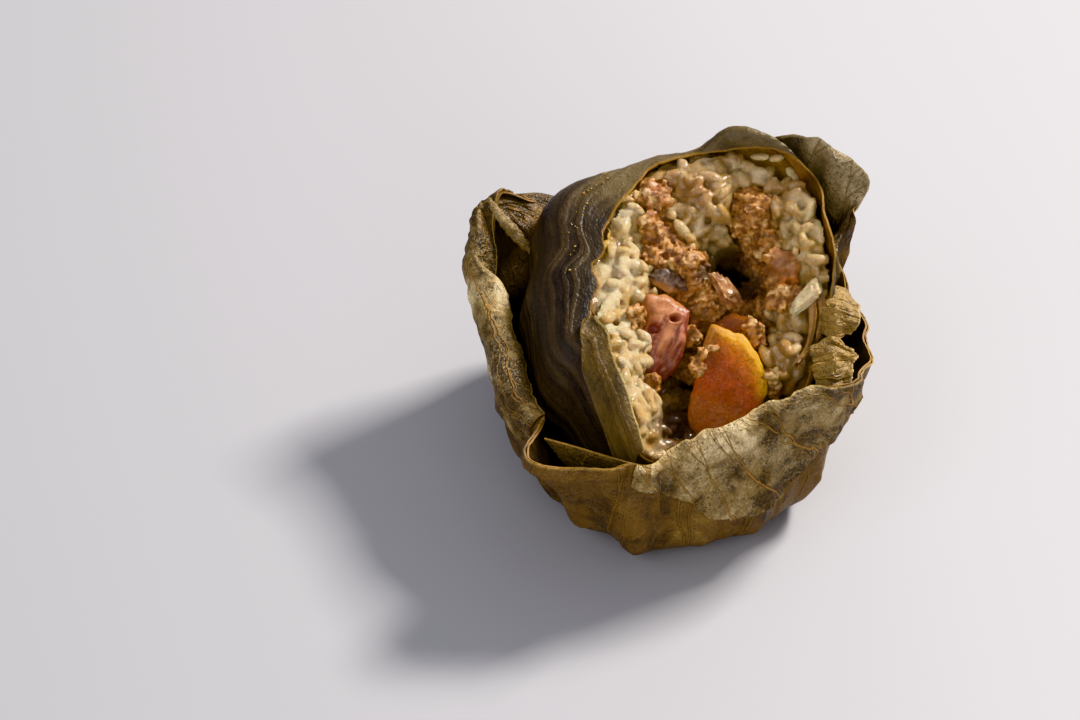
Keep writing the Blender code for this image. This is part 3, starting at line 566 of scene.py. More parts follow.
LEAF_PATTERN = leaf_pattern()
print("leaf pattern:", len(LEAF_PATTERN.nodes), "nodes")

# %% [markdown]
# ## Leaf finishes
#
# A leaf has two faces. The underside is dull and pale, grey-tan where it dried and browner
# where it stayed wet, with raised golden ribs. The upper side is smooth, dark and
# oily, and its ribs are fine lines. A cut edge shows the paler flesh. The mesh carries
# `pale` (how dried out that place is; on the inner leaf's top and in the hollow at the start
# of the left margin it is also painted light and shade), `rim` (millimetres from the edge),
# and `across` and `along`, which say where the ribs run.

# %% Leaf materials
def leaf_finish(name, dark, middle, light, rib_colour, spacing=18.0, rib_width=0.9, rough=(0.42, 0.62),
                relief=0.35, specks=0.8, blotch=(24, 22, 22), edge_colour=None, streaky=0.25, coat=0.0,
                rib_share=0.7, net_share=0.25, bloom_and_sheen=0.0, contrast=1.8):
    """One face of a leaf: three tones mixed by stains, ribs, net, specks and streaks."""
    material, tree, shader = new_material(name)
    masks = wire(tree, "ShaderNodeGroup", {
        "Across": read(tree, "across"), "Along": read(tree, "along"), "Place": millimetres(tree),
        "Spacing": spacing, "Rib width": rib_width}, node_tree=LEAF_PATTERN).outputs
    stain = plus(tree, times(tree, masks["Stain"], 1.0 - streaky), times(tree, masks["Streaks"], streaky))
    stain = calculate(tree, "MULTIPLY_ADD", calculate(tree, "SUBTRACT", stain, 0.5), contrast, read(tree, "pale"))
    colour = mix_colour(tree, fade(tree, stain, 0.25, 0.52), tone(*dark), tone(*middle))
    colour = mix_colour(tree, fade(tree, stain, 0.50, 0.95), colour, tone(*light))
    # The bloom mask paints pale speckles: partly wax bloom, partly painted sheen.
    for mask, share, shade in (("Net", net_share, rib_colour), ("Rib", rib_share, rib_colour),
                               ("Specks", specks, blotch), ("Bloom", bloom_and_sheen, (212, 200, 172))):
        if share:
            colour = tint(tree, colour, masks[mask], share, shade)
    if edge_colour:
        ragged = plus(tree, read(tree, "rim"), times(tree, masks["Stain"], 0.8))
        colour = tint(tree, colour, fade(tree, ragged, 0.5, 1.1, 1.0, 0.0), 0.7, edge_colour)
    fill(tree, shader, {
        "Base Color": colour, "Roughness": fade(tree, masks["Stain"], 0.3, 0.7, *rough), "Specular IOR Level": 0.45,
        "Coat Weight": coat, "Coat Roughness": 0.32, "Normal": bump(tree, masks["Height"], relief)})
    return material


UNDERSIDE = leaf_finish(
    "leaf underside", (70, 54, 28), (128, 106, 68), (192, 170, 126), (172, 132, 70), spacing=15.0, rib_width=0.5,
    rough=(0.42, 0.66), relief=0.5, blotch=(40, 34, 26), edge_colour=(190, 158, 96), bloom_and_sheen=0.3)
NEST_SIDE = leaf_finish(
    "outside of the nest", (60, 42, 14), (106, 76, 30), (154, 124, 68), (142, 104, 46), spacing=17.0, rib_width=0.5,
    rough=(0.40, 0.62), relief=0.5, blotch=(30, 24, 16), net_share=0.22, rib_share=0.5,
    edge_colour=(172, 138, 78), bloom_and_sheen=0.12)
PALE_SIDE = leaf_finish(
    "pale leaf underside", (62, 47, 22), (142, 120, 78), (242, 218, 170), (168, 126, 62), spacing=13.0,
    rib_width=0.42, rough=(0.48, 0.68), relief=0.6, specks=0.9, blotch=(42, 34, 24), net_share=0.4,
    rib_share=0.85, edge_colour=(196, 168, 108), bloom_and_sheen=0.35, streaky=0.15, contrast=2.6)
CURL_SIDE = leaf_finish(
    "dried leaf curl", (66, 54, 34), (120, 102, 72), (172, 152, 116), (142, 116, 76), spacing=16.0, rib_width=0.4,
    relief=0.5, blotch=(36, 32, 24), net_share=0.2, edge_colour=(176, 160, 116), bloom_and_sheen=0.15)
UPPER_SIDE = leaf_finish(
    "leaf upper side", (30, 22, 12), (60, 44, 24), (100, 78, 46), (92, 68, 36), rib_width=0.45, relief=0.3,
    specks=0.5, rib_share=0.5, coat=0.15, net_share=0.12)
DARK_SKIN = leaf_finish(
    "dark oily leaf", (26, 21, 17), (50, 39, 25), (104, 88, 58), (104, 80, 50), spacing=17.0, rib_width=1.7,
    rough=(0.46, 0.62), relief=0.20, specks=0.6, blotch=(20, 19, 22), streaky=0.6, coat=0.06, rib_share=0.2,
    net_share=0.12, edge_colour=(150, 108, 36))
GOLDEN_INSIDE = leaf_finish(
    "golden inside of leaf", (84, 50, 14), (140, 94, 34), (186, 140, 64), (92, 54, 20), spacing=14.0,
    rib_width=0.4, relief=0.3, specks=0.5, rough=(0.35, 0.5), coat=0.3)
OLIVE_SKIN = leaf_finish(
    "olive leaf", (46, 36, 14), (86, 66, 28), (126, 102, 50), (116, 84, 34), spacing=9.0, rib_width=1.0,
    rough=(0.52, 0.66), relief=0.2, specks=0.4, streaky=0.5, net_share=0.2, rib_share=0.25,
    edge_colour=(196, 172, 110))
CUT_EDGE = leaf_finish(
    "cut edge of leaf", (104, 76, 34), (144, 110, 54), (182, 146, 84), (120, 86, 40), relief=0.1, specks=0.2,
    rough=(0.6, 0.7))
SHRED_SKIN = leaf_finish(
    "gold-brown leaf", (84, 62, 26), (152, 122, 68), (206, 176, 122), (178, 140, 80), spacing=8.0, rib_width=0.3,
    relief=0.5, specks=0.6, edge_colour=(206, 178, 122), bloom_and_sheen=0.15)
print("leaf finishes:", len(bpy.data.materials))

# %% [markdown]
# ## Turning a skin into a thin leaf
#
# A leaf is a thin solid: the skin, the same skin moved in by the leaf's thickness, and a
# narrow cut edge between them. Each point also carries the values that the finishes
# read. The crumpling is added to the skin first: broad soft buckles, sharp ridges as in
# paper that was folded, and small pleats along the ribs.

# %% Leaf mesh builder
def store(mesh, **values):
    """Keep numbers for the materials to read: one for each point of a mesh, or one for all."""
    for name, value in values.items():
        kept = np.empty(len(mesh.vertices), dtype=np.float32)
        kept[:] = np.ravel(value)
        mesh.attributes.new(name, "FLOAT", "POINT").data.foreach_set("value", kept)


def stand_for(piece, node, finish=None):
    if finish:
        piece.data.materials.clear()
        piece.data.materials.append(finish)
    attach(piece, "root")
    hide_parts(node)
    triangles = len(piece.data.loops) - 2 * len(piece.data.polygons)
    print(f"{piece.name}: {triangles:,} triangles, in place of {node}")


def climb(skin):
    """How far up its column each point of a skin is, in millimetres."""
    steps = np.linalg.norm(np.diff(skin, axis=1), axis=-1)
    return np.concatenate([np.zeros((len(skin), 1)), np.cumsum(steps, axis=1)], axis=1)


def resample(skin, rows, start=0.0, trim=0.0):
    """Even rows up a skin, from `start` to `trim` millimetres short of its edge."""
    climbed = climb(skin)
    start, end = start + np.zeros(len(skin)), climbed[:, -1] - trim
    even = []
    for column, at, first, last in zip(skin, climbed, start, end):
        places = np.linspace(first, last, rows)
        even.append(np.stack([np.interp(places, at, column[:, axis]) for axis in range(3)], -1))
    return np.array(even)


def circle(angles):
    """Points on a flat circle of radius one."""
    turn = np.radians(angles)
    return np.stack([np.cos(turn), np.sin(turn), 0 * turn], -1)


def swept(formula, angles, rises):
    """A grid of points [around, up] from one of the skin formulas."""
    return np.stack([formula(angles, np.full(len(angles), rise)) for rise in rises], axis=1)


def with_middle(skin, angles, level):
    """Add three small rings that close the middle of a leaf's flat base."""
    flat = np.zeros(len(angles))
    rings = np.stack([place(angles, flat + radius, flat + level) for radius in (0.0, 4.0, 14.0)], axis=1)
    return np.concatenate([rings, skin], axis=1)


def leaf_piece(name, skin, finishes, node, slot, thickness=0.4, closed=False, pole=False, pale=0.5,
               turned=False, slant=0.0):
    """A thin leaf from a grid of points [around, up]; finishes are outside, inside, edge.
    `turned` makes the ribs run round instead of up, and `slant` tilts upright ribs."""
    count, rows = skin.shape[:2]
    normals = skin_normals(skin, closed)
    if pole:
        normals[:, :2] = (0.0, 0.0, -1.0)
    inside = skin - thickness * normals
    other = count * rows
    grid = np.arange(other).reshape(count, rows)
    following = np.roll(grid, -1, axis=0) if closed else grid[1:]
    start = grid if closed else grid[:-1]
    low, high = slice(int(pole), -1), slice(int(pole) + 1, None)
    quads = np.stack([start[:, low], following[:, low], following[:, high], start[:, high]], -1).reshape(-1, 4)

    def strip(one, two):
        """Faces through the leaf's thickness, between two lines of points."""
        return np.stack([one, two, two + other, one + other], -1)

    strips = [strip(start[:, -1], following[:, -1])]
    if not pole:
        strips.append(strip(following[:, 0], start[:, 0]))
    if not closed:
        strips += [strip(grid[0, 1:], grid[0, :-1])[:, ::-1], strip(grid[-1, :-1], grid[-1, 1:])[:, ::-1]]
    strips = np.concatenate(strips)
    faces = np.concatenate([quads, quads[:, ::-1] + other, strips])
    slots = np.repeat([0, 1, 2], [len(quads), len(quads), len(strips)])
    polygons = [tuple(face) for face in faces.tolist()]
    points = np.concatenate([skin.reshape(-1, 3), inside.reshape(-1, 3)])
    if pole:
        ring, after = start[:, 1].tolist(), following[:, 1].tolist()
        polygons += [(2 * other, b, a) for a, b in zip(ring, after)]
        polygons += [(2 * other + 1, a + other, b + other) for a, b in zip(ring, after)]
        slots = np.concatenate([slots, np.repeat([0, 1], count)])
        points = np.concatenate([points, skin[:, :1].mean(axis=0), inside[:, :1].mean(axis=0)])
    mesh = bpy.data.meshes.new(name)
    mesh.from_pydata((points * MM).tolist(), [], polygons)
    for finish in finishes:
        mesh.materials.append(finish)
    mesh.polygons.foreach_set("material_index", slots.astype(np.int32))

    climbed = climb(skin)
    share = np.linspace(0.0, 1.0, count)[:, None]
    round_it = np.linalg.norm(np.diff(skin[:, rows // 2], axis=0), axis=-1)
    round_it = np.concatenate([[0.0], np.cumsum(round_it)])[:, None]
    if closed:
        share, round_it = 1.0 - np.abs(2.0 * share - 1.0), np.minimum(round_it, round_it[-1] - round_it)
    if turned:
        length = np.pad(climbed[:, -1], 30, mode="wrap" if closed else "edge")
        length = np.convolve(length, np.hanning(61) / np.hanning(61).sum(), "valid")
        along, across = share, length[:, None] - climbed
    else:
        along, across = climbed / climbed[:, -1:], round_it + slant * climbed
    for label, values in (("along", along), ("across", across), ("rim", climbed[:, -1:] - climbed), ("pale", pale)):
        values = np.broadcast_to(values, (count, rows))
        store(mesh, **{label: np.concatenate([values.ravel(), values.ravel(), [values[0, 0]] * 2 * pole])})
    if pole:
        loose = bmesh.new()
        loose.from_mesh(mesh)
        bmesh.ops.delete(loose, geom=[v for v in loose.verts if not v.link_faces], context="VERTS")
        loose.to_mesh(mesh)
        loose.free()
    mesh.shade_smooth()
    mesh.set_sharp_from_angle(angle=math.radians(55))
    piece = add_object(name, mesh)
    stand_for(piece, node)
    return piece


def crumple(skin, amount, stretch, seed, closed=False, flat_below=0.0, outward=True):
    """Buckle a skin along its normals: soft waves, folded ridges and fine puckers."""
    normals = skin_normals(skin, closed)
    count, rows = skin.shape[:2]
    turn = np.arange(count)[:, None] * 2.0 * math.pi / count
    around_axis = np.linalg.norm(skin[..., :2] - CENTRE, axis=-1)
    fluted = np.stack([around_axis * np.cos(turn), around_axis * np.sin(turn), skin[..., 2] / stretch], -1)
    rise = 0.55 * soft_noise(fluted, 11.0, seed) + 0.9 * (ridged_noise(fluted, 9.0, seed + 1) - 0.35)
    rise += 0.40 * (ridged_noise(fluted, 4.2, seed + 2) - 0.35) + 0.12 * soft_noise(fluted, 1.6, seed + 3)
    if outward:
        rise = np.maximum(rise, -0.35) + 0.35
    rise = rise * smooth_step(flat_below, flat_below + 9.0, skin[..., 2])
    return skin + amount * rise[..., None] * normals


print("leaf builder ready")

# %% [markdown]
# ## The outer leaf
#
# The outer leaf was opened out and stands round the parcel like a nest. At the left its
# margin rolled inward and shows its pale underside, at the front left it was folded to a
# corner, at the front right it stands up as a pale flap, and at the upper right it curls
# back. Its rim is never quite even, so the height of the rim wavers a little.

# %% Outer leaf
AROUND_OUTER, OUTER_ROWS = 420, 92
PINCHES = ((262, 2.0, 3.0), (256, -1.4, 3.5), (270, -1.0, 4.0), (227, 1.4, 3.0), (350, 1.6, 3.0), (15, -1.4, 4.0),
           (222, -1.0, 3.0), (161, 1.6, 3.0), (31, 4.0, 2.4), (25, -1.6, 3.0), (38, -2.0, 3.0), (47, 1.0, 2.0))
angles = np.arange(AROUND_OUTER) * 360.0 / AROUND_OUTER
rim_path = 46 * circle(angles)
nest = swept(outer_skin, angles, np.concatenate([np.linspace(0.0, 1.0, 90), np.linspace(1.0, 2.0, 40)[1:]]))
uneven = np.maximum(0.0, 0.7 + 0.9 * soft_noise(rim_path, 8.0, 5) + 0.3 * soft_noise(rim_path, 2.2, 6))
nest = resample(nest, OUTER_ROWS, trim=uneven)
up_share = np.linspace(0.0, 1.0, OUTER_ROWS)[None, :]
ruffle = 1.3 * soft_noise(rim_path, 11.0, 7) + 0.5 * soft_noise(rim_path, 4.0, 9)
for angle, depth, width in PINCHES:
    ruffle = ruffle + depth * np.exp(-((angles - angle) / width) ** 2)
nest = nest + (smooth_step(0.55, 1.0, up_share) * ruffle[:, None])[..., None] * circle(angles)[:, None, :]
peak = np.exp(-((angles - 154.0) / 7.0) ** 4)[:, None] * smooth_step(0.905, 1.0, up_share)
nest[..., 2] -= 9.0 * peak
outer = crumple(with_middle(nest, angles, 0.0), 0.8, 2.6, 21, closed=True)
outer[..., 2] = np.maximum(outer[..., 2], 0.0)

height_share = np.concatenate([np.zeros((1, 3)), up_share], axis=1)
dried = 0.44 + 0.10 * between(268, 334, 7, angles) + 0.10 * between(150, 216, 8, angles)
dried += 0.16 * between(24, 46, 6, angles) - 0.30 * between(50, 74, 6, angles)
pale = 0.42 + (dried[:, None] - 0.42) * smooth_step(0.20, 0.42, height_share)
leaf_piece("outer_leaf", outer, (NEST_SIDE, UPPER_SIDE, CUT_EDGE), "leaf_outer", "outer_leaf", 0.5, closed=True,
           pole=True, pale=pale)

# %% [markdown]
# ## Layers folded over the outer leaf
#
# A wrapping leaf is far larger than its parcel, so it lies in several layers, and each
# layer's edge shows as a line with a shadow under it. These layers follow the outer
# leaf a little further out. At the front right the margin is turned down and shows its
# pale, veined underside; at the left the rolled margin does the same; the others wrap
# the front corner and the back.

# %% Folded layers
LAYER_ROWS = 44


def layer(name, span, depths, finish, lift, seed, pale, **ribs):
    """A layer over the outer leaf: how far it reaches down from the rim, at a few angles."""
    count = int((span[1] - span[0]) * 1.6)
    angles = np.linspace(*span, count)
    along_it = np.linspace(0.0, 1.0, count)
    reach, pale = (np.interp(along_it, np.linspace(0.0, 1.0, len(row)), row) for row in (depths, pale))
    column = np.rint(angles / 360.0 * AROUND_OUTER).astype(int) % AROUND_OUTER
    share = angles / 360.0 * AROUND_OUTER - np.rint(angles / 360.0 * AROUND_OUTER)
    side = (column + np.sign(share).astype(int)) % AROUND_OUTER
    skin = outer[column] + np.abs(share)[:, None, None] * (outer[side] - outer[column])
    length = np.linalg.norm(np.diff(skin, axis=1), axis=-1).sum(axis=1)
    wavy = np.stack([angles, 0 * angles, 0 * angles + seed], -1)
    reach = reach + 1.6 * soft_noise(wavy, 12.0, seed) + 0.5 * soft_noise(wavy, 3.0, seed + 1)
    skin = resample(skin, LAYER_ROWS, start=np.maximum(length - reach, 4.0))
    down = np.linspace(1.0, 0.0, LAYER_ROWS)[None, :]
    ends = np.minimum(np.arange(count), np.arange(count)[::-1])[:, None] / count
    out = 0.45 + lift * down ** 3 + 0.8 * (1.0 - smooth_step(0.0, 0.05, ends)) * smooth_step(0.0, 0.3, down)
    skin = crumple(skin + out[..., None] * skin_normals(skin), 0.35, 1.6, seed + 2)
    leaf_piece(name, skin, (finish, UPPER_SIDE, CUT_EDGE), "leaf_outer", "outer_leaf", pale=pale[:, None], **ribs)


layer("turned_down_margin", (259, 343), (3, 15, 24, 30, 31, 30, 26, 18, 7), PALE_SIDE, 1.4, 201,
      (0.5, 0.52, 0.5, 0.54, 0.5, 0.42, 0.34, 0.40), slant=0.7)
# The low pale values at the start of the left margin paint the shade in the hollow between the rolled arms.
layer("left_margin", (139, 221), (8, 24, 30, 30, 27, 24, 18, 8), PALE_SIDE, 1.0, 211,
      (0.2, 0.1, 0.35, 0.56, 0.46, 0.40, 0.38, 0.36, 0.36), turned=True)
layer("corner_fold", (222, 264), (30, 36, 34, 28, 20), NEST_SIDE, 1.0, 221, (0.42, 0.46, 0.5), slant=-0.3)
layer("back_wrap", (62, 136), (10, 30, 40, 44, 34, 14), NEST_SIDE, 1.3, 231, (0.46, 0.42), slant=0.5)
layer("right_wrap", (-18, 30), (12, 26, 32, 30, 16), NEST_SIDE, 1.3, 241, (0.52, 0.46), slant=-0.5)

# %% [markdown]
# ## The dried curl
#
# At the upper right the margin curls back and has dried: its inside carries a thin, pale
# grey-tan layer with one sharp ridge.

# %% Dried curl
CURL_START, CURL_END, CURL_ROW, CURL_RIDGE = 22, 66, 76, 47.0


def column_at(angle):
    """The outer leaf's column of points at an angle."""
    return int(angle / 360 * AROUND_OUTER)


span = slice(column_at(CURL_START), column_at(CURL_END))
curl = outer[span, CURL_ROW:]
along_it = np.linspace(0.0, 1.0, len(curl))
ends = smooth_step(0.0, 0.10, along_it) * smooth_step(1.0, 0.90, along_it)
curl = curl - (0.75 + 0.5 * (1.0 - ends))[:, None, None] * skin_normals(curl)
ridge = np.exp(-((angles[span] - CURL_RIDGE) / 2.0) ** 2)[:, None] * np.ones(curl.shape[1])
curl = crumple(curl - 1.1 * ridge[..., None] * skin_normals(curl), 0.35, 1.0, 251)
shade = 0.62 + 0.25 * ridge - 0.42 * smooth_step(50.0, 54.0, angles[span])[:, None]
leaf_piece("dried_curl", curl, (UPPER_SIDE, CURL_SIDE, CUT_EDGE), "leaf_outer", "outer_leaf", 0.35, pale=shade)

# %% [markdown]
# ## The inner leaf
#
# The inner leaf lies tight on the rice. It is the dark, oily upper side that shows, with
# its ribs running along the parcel. It was torn open, so its edge is ragged and pale.
# At the back it stands over the rice as a small hood.

# %% Inner leaf
AROUND_INNER, INNER_ROWS = 400, 96
angles = np.arange(AROUND_INNER) * 360.0 / AROUND_INNER
rim_path = 38 * circle(angles)
ragged = np.maximum(0.0, 0.7 + 0.9 * soft_noise(rim_path, 9.0, 8) + 0.35 * soft_noise(rim_path, 2.4, 9))
rises = np.concatenate([np.linspace(0.0, 1.0, 40), 1.0 + np.linspace(0.0, 1.0, 90)[1:] ** 0.7])
inner = resample(swept(inner_skin, angles, rises), INNER_ROWS, trim=ragged)
inner = with_middle(inner, angles, NEST)
inner = crumple(inner, 0.34, 0.6, 33, closed=True, flat_below=14.0, outward=False)
# Painted light: the top of the inner leaf, most of all at the back, is made paler where the light falls on it.
faces_back = between(52, 128, 14, angles)[:, None]
pale = 0.44 + smooth_step(48.0, 64.0, inner[..., 2]) * (0.04 + 0.42 * faces_back)
leaf_piece("inner_leaf", inner, (DARK_SKIN, GOLDEN_INSIDE, CUT_EDGE), "leaf_inner", "inner_leaf", 0.5, closed=True,
           pole=True, turned=True, pale=pale)

# %% [markdown]
# ## The flap on the torn edge
#
# A strip of lighter, olive leaf lies over the front of the torn edge. It follows the
# inner leaf's skin a leaf's thickness further out, narrow at its upper tip and broad at
# the front, and its free edge lifts a little.

# %% Leaf flap
FLAP_START, FLAP_END, FLAP_TIP, FLAP_REACH, FLAP_ROWS = 206.0, 257.0, 0.08, 0.85, 46
angles = np.linspace(FLAP_START, FLAP_END, 120)
reach = FLAP_TIP + (FLAP_REACH - FLAP_TIP) * ((angles - FLAP_START) / (FLAP_END - FLAP_START))
down = np.linspace(1.0, 0.0, FLAP_ROWS)
ragged = 0.03 * soft_noise(np.stack([angles, 0 * angles, 0 * angles], -1), 9.0, 4)
columns = [inner_skin(angles, 2.0 - (reach + ragged * share) * share) for share in down]
flap = resample(np.stack(columns, axis=1), FLAP_ROWS)
lift = NEST + 0.9 * np.linspace(0.0, 1.0, FLAP_ROWS)[None, :] ** 6 + 0.5 * down[None, :] ** 8
flap = crumple(flap + lift[..., None] * skin_normals(flap), 0.25, 1.0, 41)
leaf_piece("flap", flap, (OLIVE_SKIN, UPPER_SIDE, CUT_EDGE), "leaf_flap", "leaf_flap", 0.45, turned=True)

# %% [markdown]
# ## Food meshes
#
# Rice and mince are heaps of small pieces stuck together. In each, a soft mass taken from
# the solid model carries many small copies, and a voxel remesh then melts mass and copies
# into one skin with even faces, so that neighbours join in a rounded, glazed crease as
# sticky food does, and don't simply pass through each other.

# %% Food helpers
def bake(piece):
    """Turn a piece with modifiers into a plain mesh."""
    graph = bpy.context.evaluated_depsgraph_get()
    mesh = bpy.data.meshes.new_from_object(piece.evaluated_get(graph))
    mesh.name = piece.name
    piece.modifiers.clear()
    piece.data = mesh
    return piece


def mesh_from(name, made):
    """Turn what was built up into a mesh."""
    mesh = bpy.data.meshes.new(name)
    made.to_mesh(mesh)
    made.free()
    return mesh


def remeshed(name, meshes, voxel):
    """One piece from several closed meshes, melted together with faces about a voxel wide."""
    joined = bmesh.new()
    for mesh in meshes:
        joined.from_mesh(mesh)
    bmesh.ops.remove_doubles(joined, verts=joined.verts, dist=1e-6)
    piece = add_object(name, mesh_from(name, joined))
    remesh = piece.modifiers.new("remesh", "REMESH")
    remesh.mode = "VOXEL"
    remesh.voxel_size = voxel * MM
    return bake(piece)


def solid(node):
    """The mesh of one of the solid model's nodes."""
    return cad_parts[node].data


def points_of(mesh):
    """A mesh's points in millimetres, as an array."""
    values = np.empty(len(mesh.vertices) * 3, dtype=np.float32)
    mesh.vertices.foreach_get("co", values)
    return values.reshape(-1, 3).astype(float) / MM


def normals_of(mesh):
    """A mesh's point normals, as an array."""
    values = np.empty(len(mesh.vertices) * 3, dtype=np.float32)
    mesh.vertex_normals.foreach_get("vector", values)
    return values.reshape(-1, 3).astype(float)


def move_points(mesh, points):
    """Put a mesh's points at new places, given in millimetres."""
    mesh.vertices.foreach_set("co", (points * MM).astype(np.float32).ravel())
    mesh.update()


def relax(mesh, rounds, share=0.5, points=None):
    """Even out points towards the middle of their neighbours, a few times."""
    points = points_of(mesh) if points is None else points
    pairs = np.empty(len(mesh.edges) * 2, dtype=np.int32)
    mesh.edges.foreach_get("vertices", pairs)
    one, two = pairs.reshape(-1, 2).T
    joined = np.maximum(np.bincount(pairs, minlength=len(points)), 1)[:, None]
    for _ in range(rounds):
        near = [np.bincount(one, points[two, axis], len(points)) + np.bincount(two, points[one, axis], len(points))
                for axis in range(3)]
        points = points + share * (np.stack(near, -1) / joined - points)
    return points


def hollowness(mesh, points, rounds=3):
    """Above 0 in creases and below 0 on bumps, in millimetres."""
    return np.einsum("ij,ij->i", relax(mesh, rounds, points=points) - points, normals_of(mesh))


def tree_of(names):
    """A search tree over some of the solid model's nodes, for distances to them."""
    gathered = bmesh.new()
    for name in names:
        gathered.from_mesh(solid(name))
    found = BVHTree.FromBMesh(gathered)
    gathered.free()
    return found


def distances(points, tree, limit=30.0):
    """How far each point is from the nodes of a tree, in millimetres."""
    far = np.full(len(points), limit)
    for i, point in enumerate((points * MM).tolist()):
        hit = tree.find_nearest(point, limit * MM)
        if hit[3] is not None:
            far[i] = hit[3] / MM
    return far


def sink(points):
    """Push points away from the viewer where a torn hollow goes deep, and say where, for painting the hollow dark as
    shade.
    """
    sight = np.array(ahead)
    dark = np.zeros(len(points))
    for middle, reach, depth in PITS:
        away = points - np.array(middle)
        away = away - (away @ sight)[..., None] * sight
        share = smooth_step(1.0, 0.35, np.linalg.norm(away, axis=-1) / reach)
        points = points + (depth * share)[:, None] * sight
        dark = np.maximum(dark, share)
    return points, dark


def grid_tree(grid):
    """A search tree over a closed grid of points, such as the inner leaf's skin."""
    count, rows = grid.shape[:2]
    start = (np.arange(count) * rows)[:, None] + np.arange(1, rows - 1)[None, :]
    following = np.roll(start, -1, axis=0)
    quads = np.stack([start, following, following + 1, start + 1], -1).reshape(-1, 4)
    return BVHTree.FromPolygons(grid.reshape(-1, 3).tolist(), quads.tolist())


INNER_TREE = grid_tree(inner)


def tucked(points, thickness):
    """Bring points that came through the inner leaf back behind it."""
    rows = inner.shape[1]
    top_row = rows - 3
    kept = points.copy()
    for i, point in enumerate(points.tolist()):
        spot, normal, face, _ = INNER_TREE.find_nearest(point, 6.0)
        if spot is None:
            continue
        out = Vector(point) - spot
        level = out.dot(normal)
        beyond = (out - level * normal).length > 0.25 and face % (rows - 2) >= top_row
        if level > -thickness and not beyond:
            kept[i] = spot - thickness * normal
    return kept


# Deep hollows, which are also painted dark as shade: middle, reach and depth. Small clumps of mince: middle and half
# sizes.
PITS = (((9.0, 17.0, 43.5), 6.5, 5.0), ((12.5, 9.0, 44.0), 6.0, 2.5), ((2.0, 10.0, 47.0), 3.5, 2.5),
        ((-2.6, -24.6, 27.7), 9.0, 1.5))
CLUMPS = (
    ((21.1, 5.4, 54.6), (4.7, 3.3, 3.4)), ((22.4, -2.2, 50.4), (4.5, 2.9, 3.2)), ((7.2, 5.0, 44.0), (2.2, 2.6, 4.2)),
    ((13.0, 15.5, 47.0), (2.6, 2.2, 2.4)), ((15.2, 17.5, 51.0), (2.0, 1.8, 2.6)),
    ((-11.9, 13.0, 57.2), (2.0, 3.0, 4.2)), ((-10.6, 5.6, 55.4), (2.6, 2.4, 3.0)),
    ((-14.8, -12.0, 50.2), (1.9, 1.8, 3.2)), ((-9.9, -19.4, 36.6), (2.4, 2.0, 2.8)),
    ((19.2, -18.0, 35.6), (2.0, 2.2, 4.6)), ((15.2, -8.6, 43.2), (2.6, 2.2, 3.6)),
    ((2.2, -16.8, 45.0), (1.6, 1.5, 1.6)), ((0.8, -19.6, 42.2), (1.5, 1.4, 1.6)),
    ((-1.0, -9.0, 42.4), (2.6, 2.4, 3.2)), ((4.4, -19.6, 48.6), (2.4, 1.4, 1.8)), ((20.4, 1.6, 50.4), (3.4, 2.6, 3.2)),
)


def blob(points, middle, half, none, full):
    """1 inside an ellipsoid and 0 a little way outside it."""
    return smooth_step(none, full, np.linalg.norm((points - np.array(middle)) / np.array(half), axis=-1))


def keep_seen(piece, hidden):
    """Delete the faces whose points are all hidden inside the parcel."""
    skin = bmesh.new()
    skin.from_mesh(piece.data)
    skin.verts.ensure_lookup_table()
    faces = [face for face in skin.faces if all(hidden[vert.index] for vert in face.verts)]
    bmesh.ops.delete(skin, geom=faces, context="FACES")
    skin.to_mesh(piece.data)
    skin.free()


LEAVES_NEAR = tree_of(["leaf_inner"])
MINCE_NEAR = tree_of(["mince_filling"])
SET_IN = tree_of(["cured_pork", "egg_yolk", "egg_yolk_sliver", "mushroom_slice"])
print("food helpers ready")

# %% [markdown]
# ## A scatter tree
#
# Geometry Nodes spread copies over a surface: points at least a set distance apart, more
# of them where an attribute is high, each copy turned at random about the normal, tipped a
# little, sunk into the surface, and finally made into one real mesh. The same tree
# scatters grains and crumbs of mince, with different values in its named inputs.

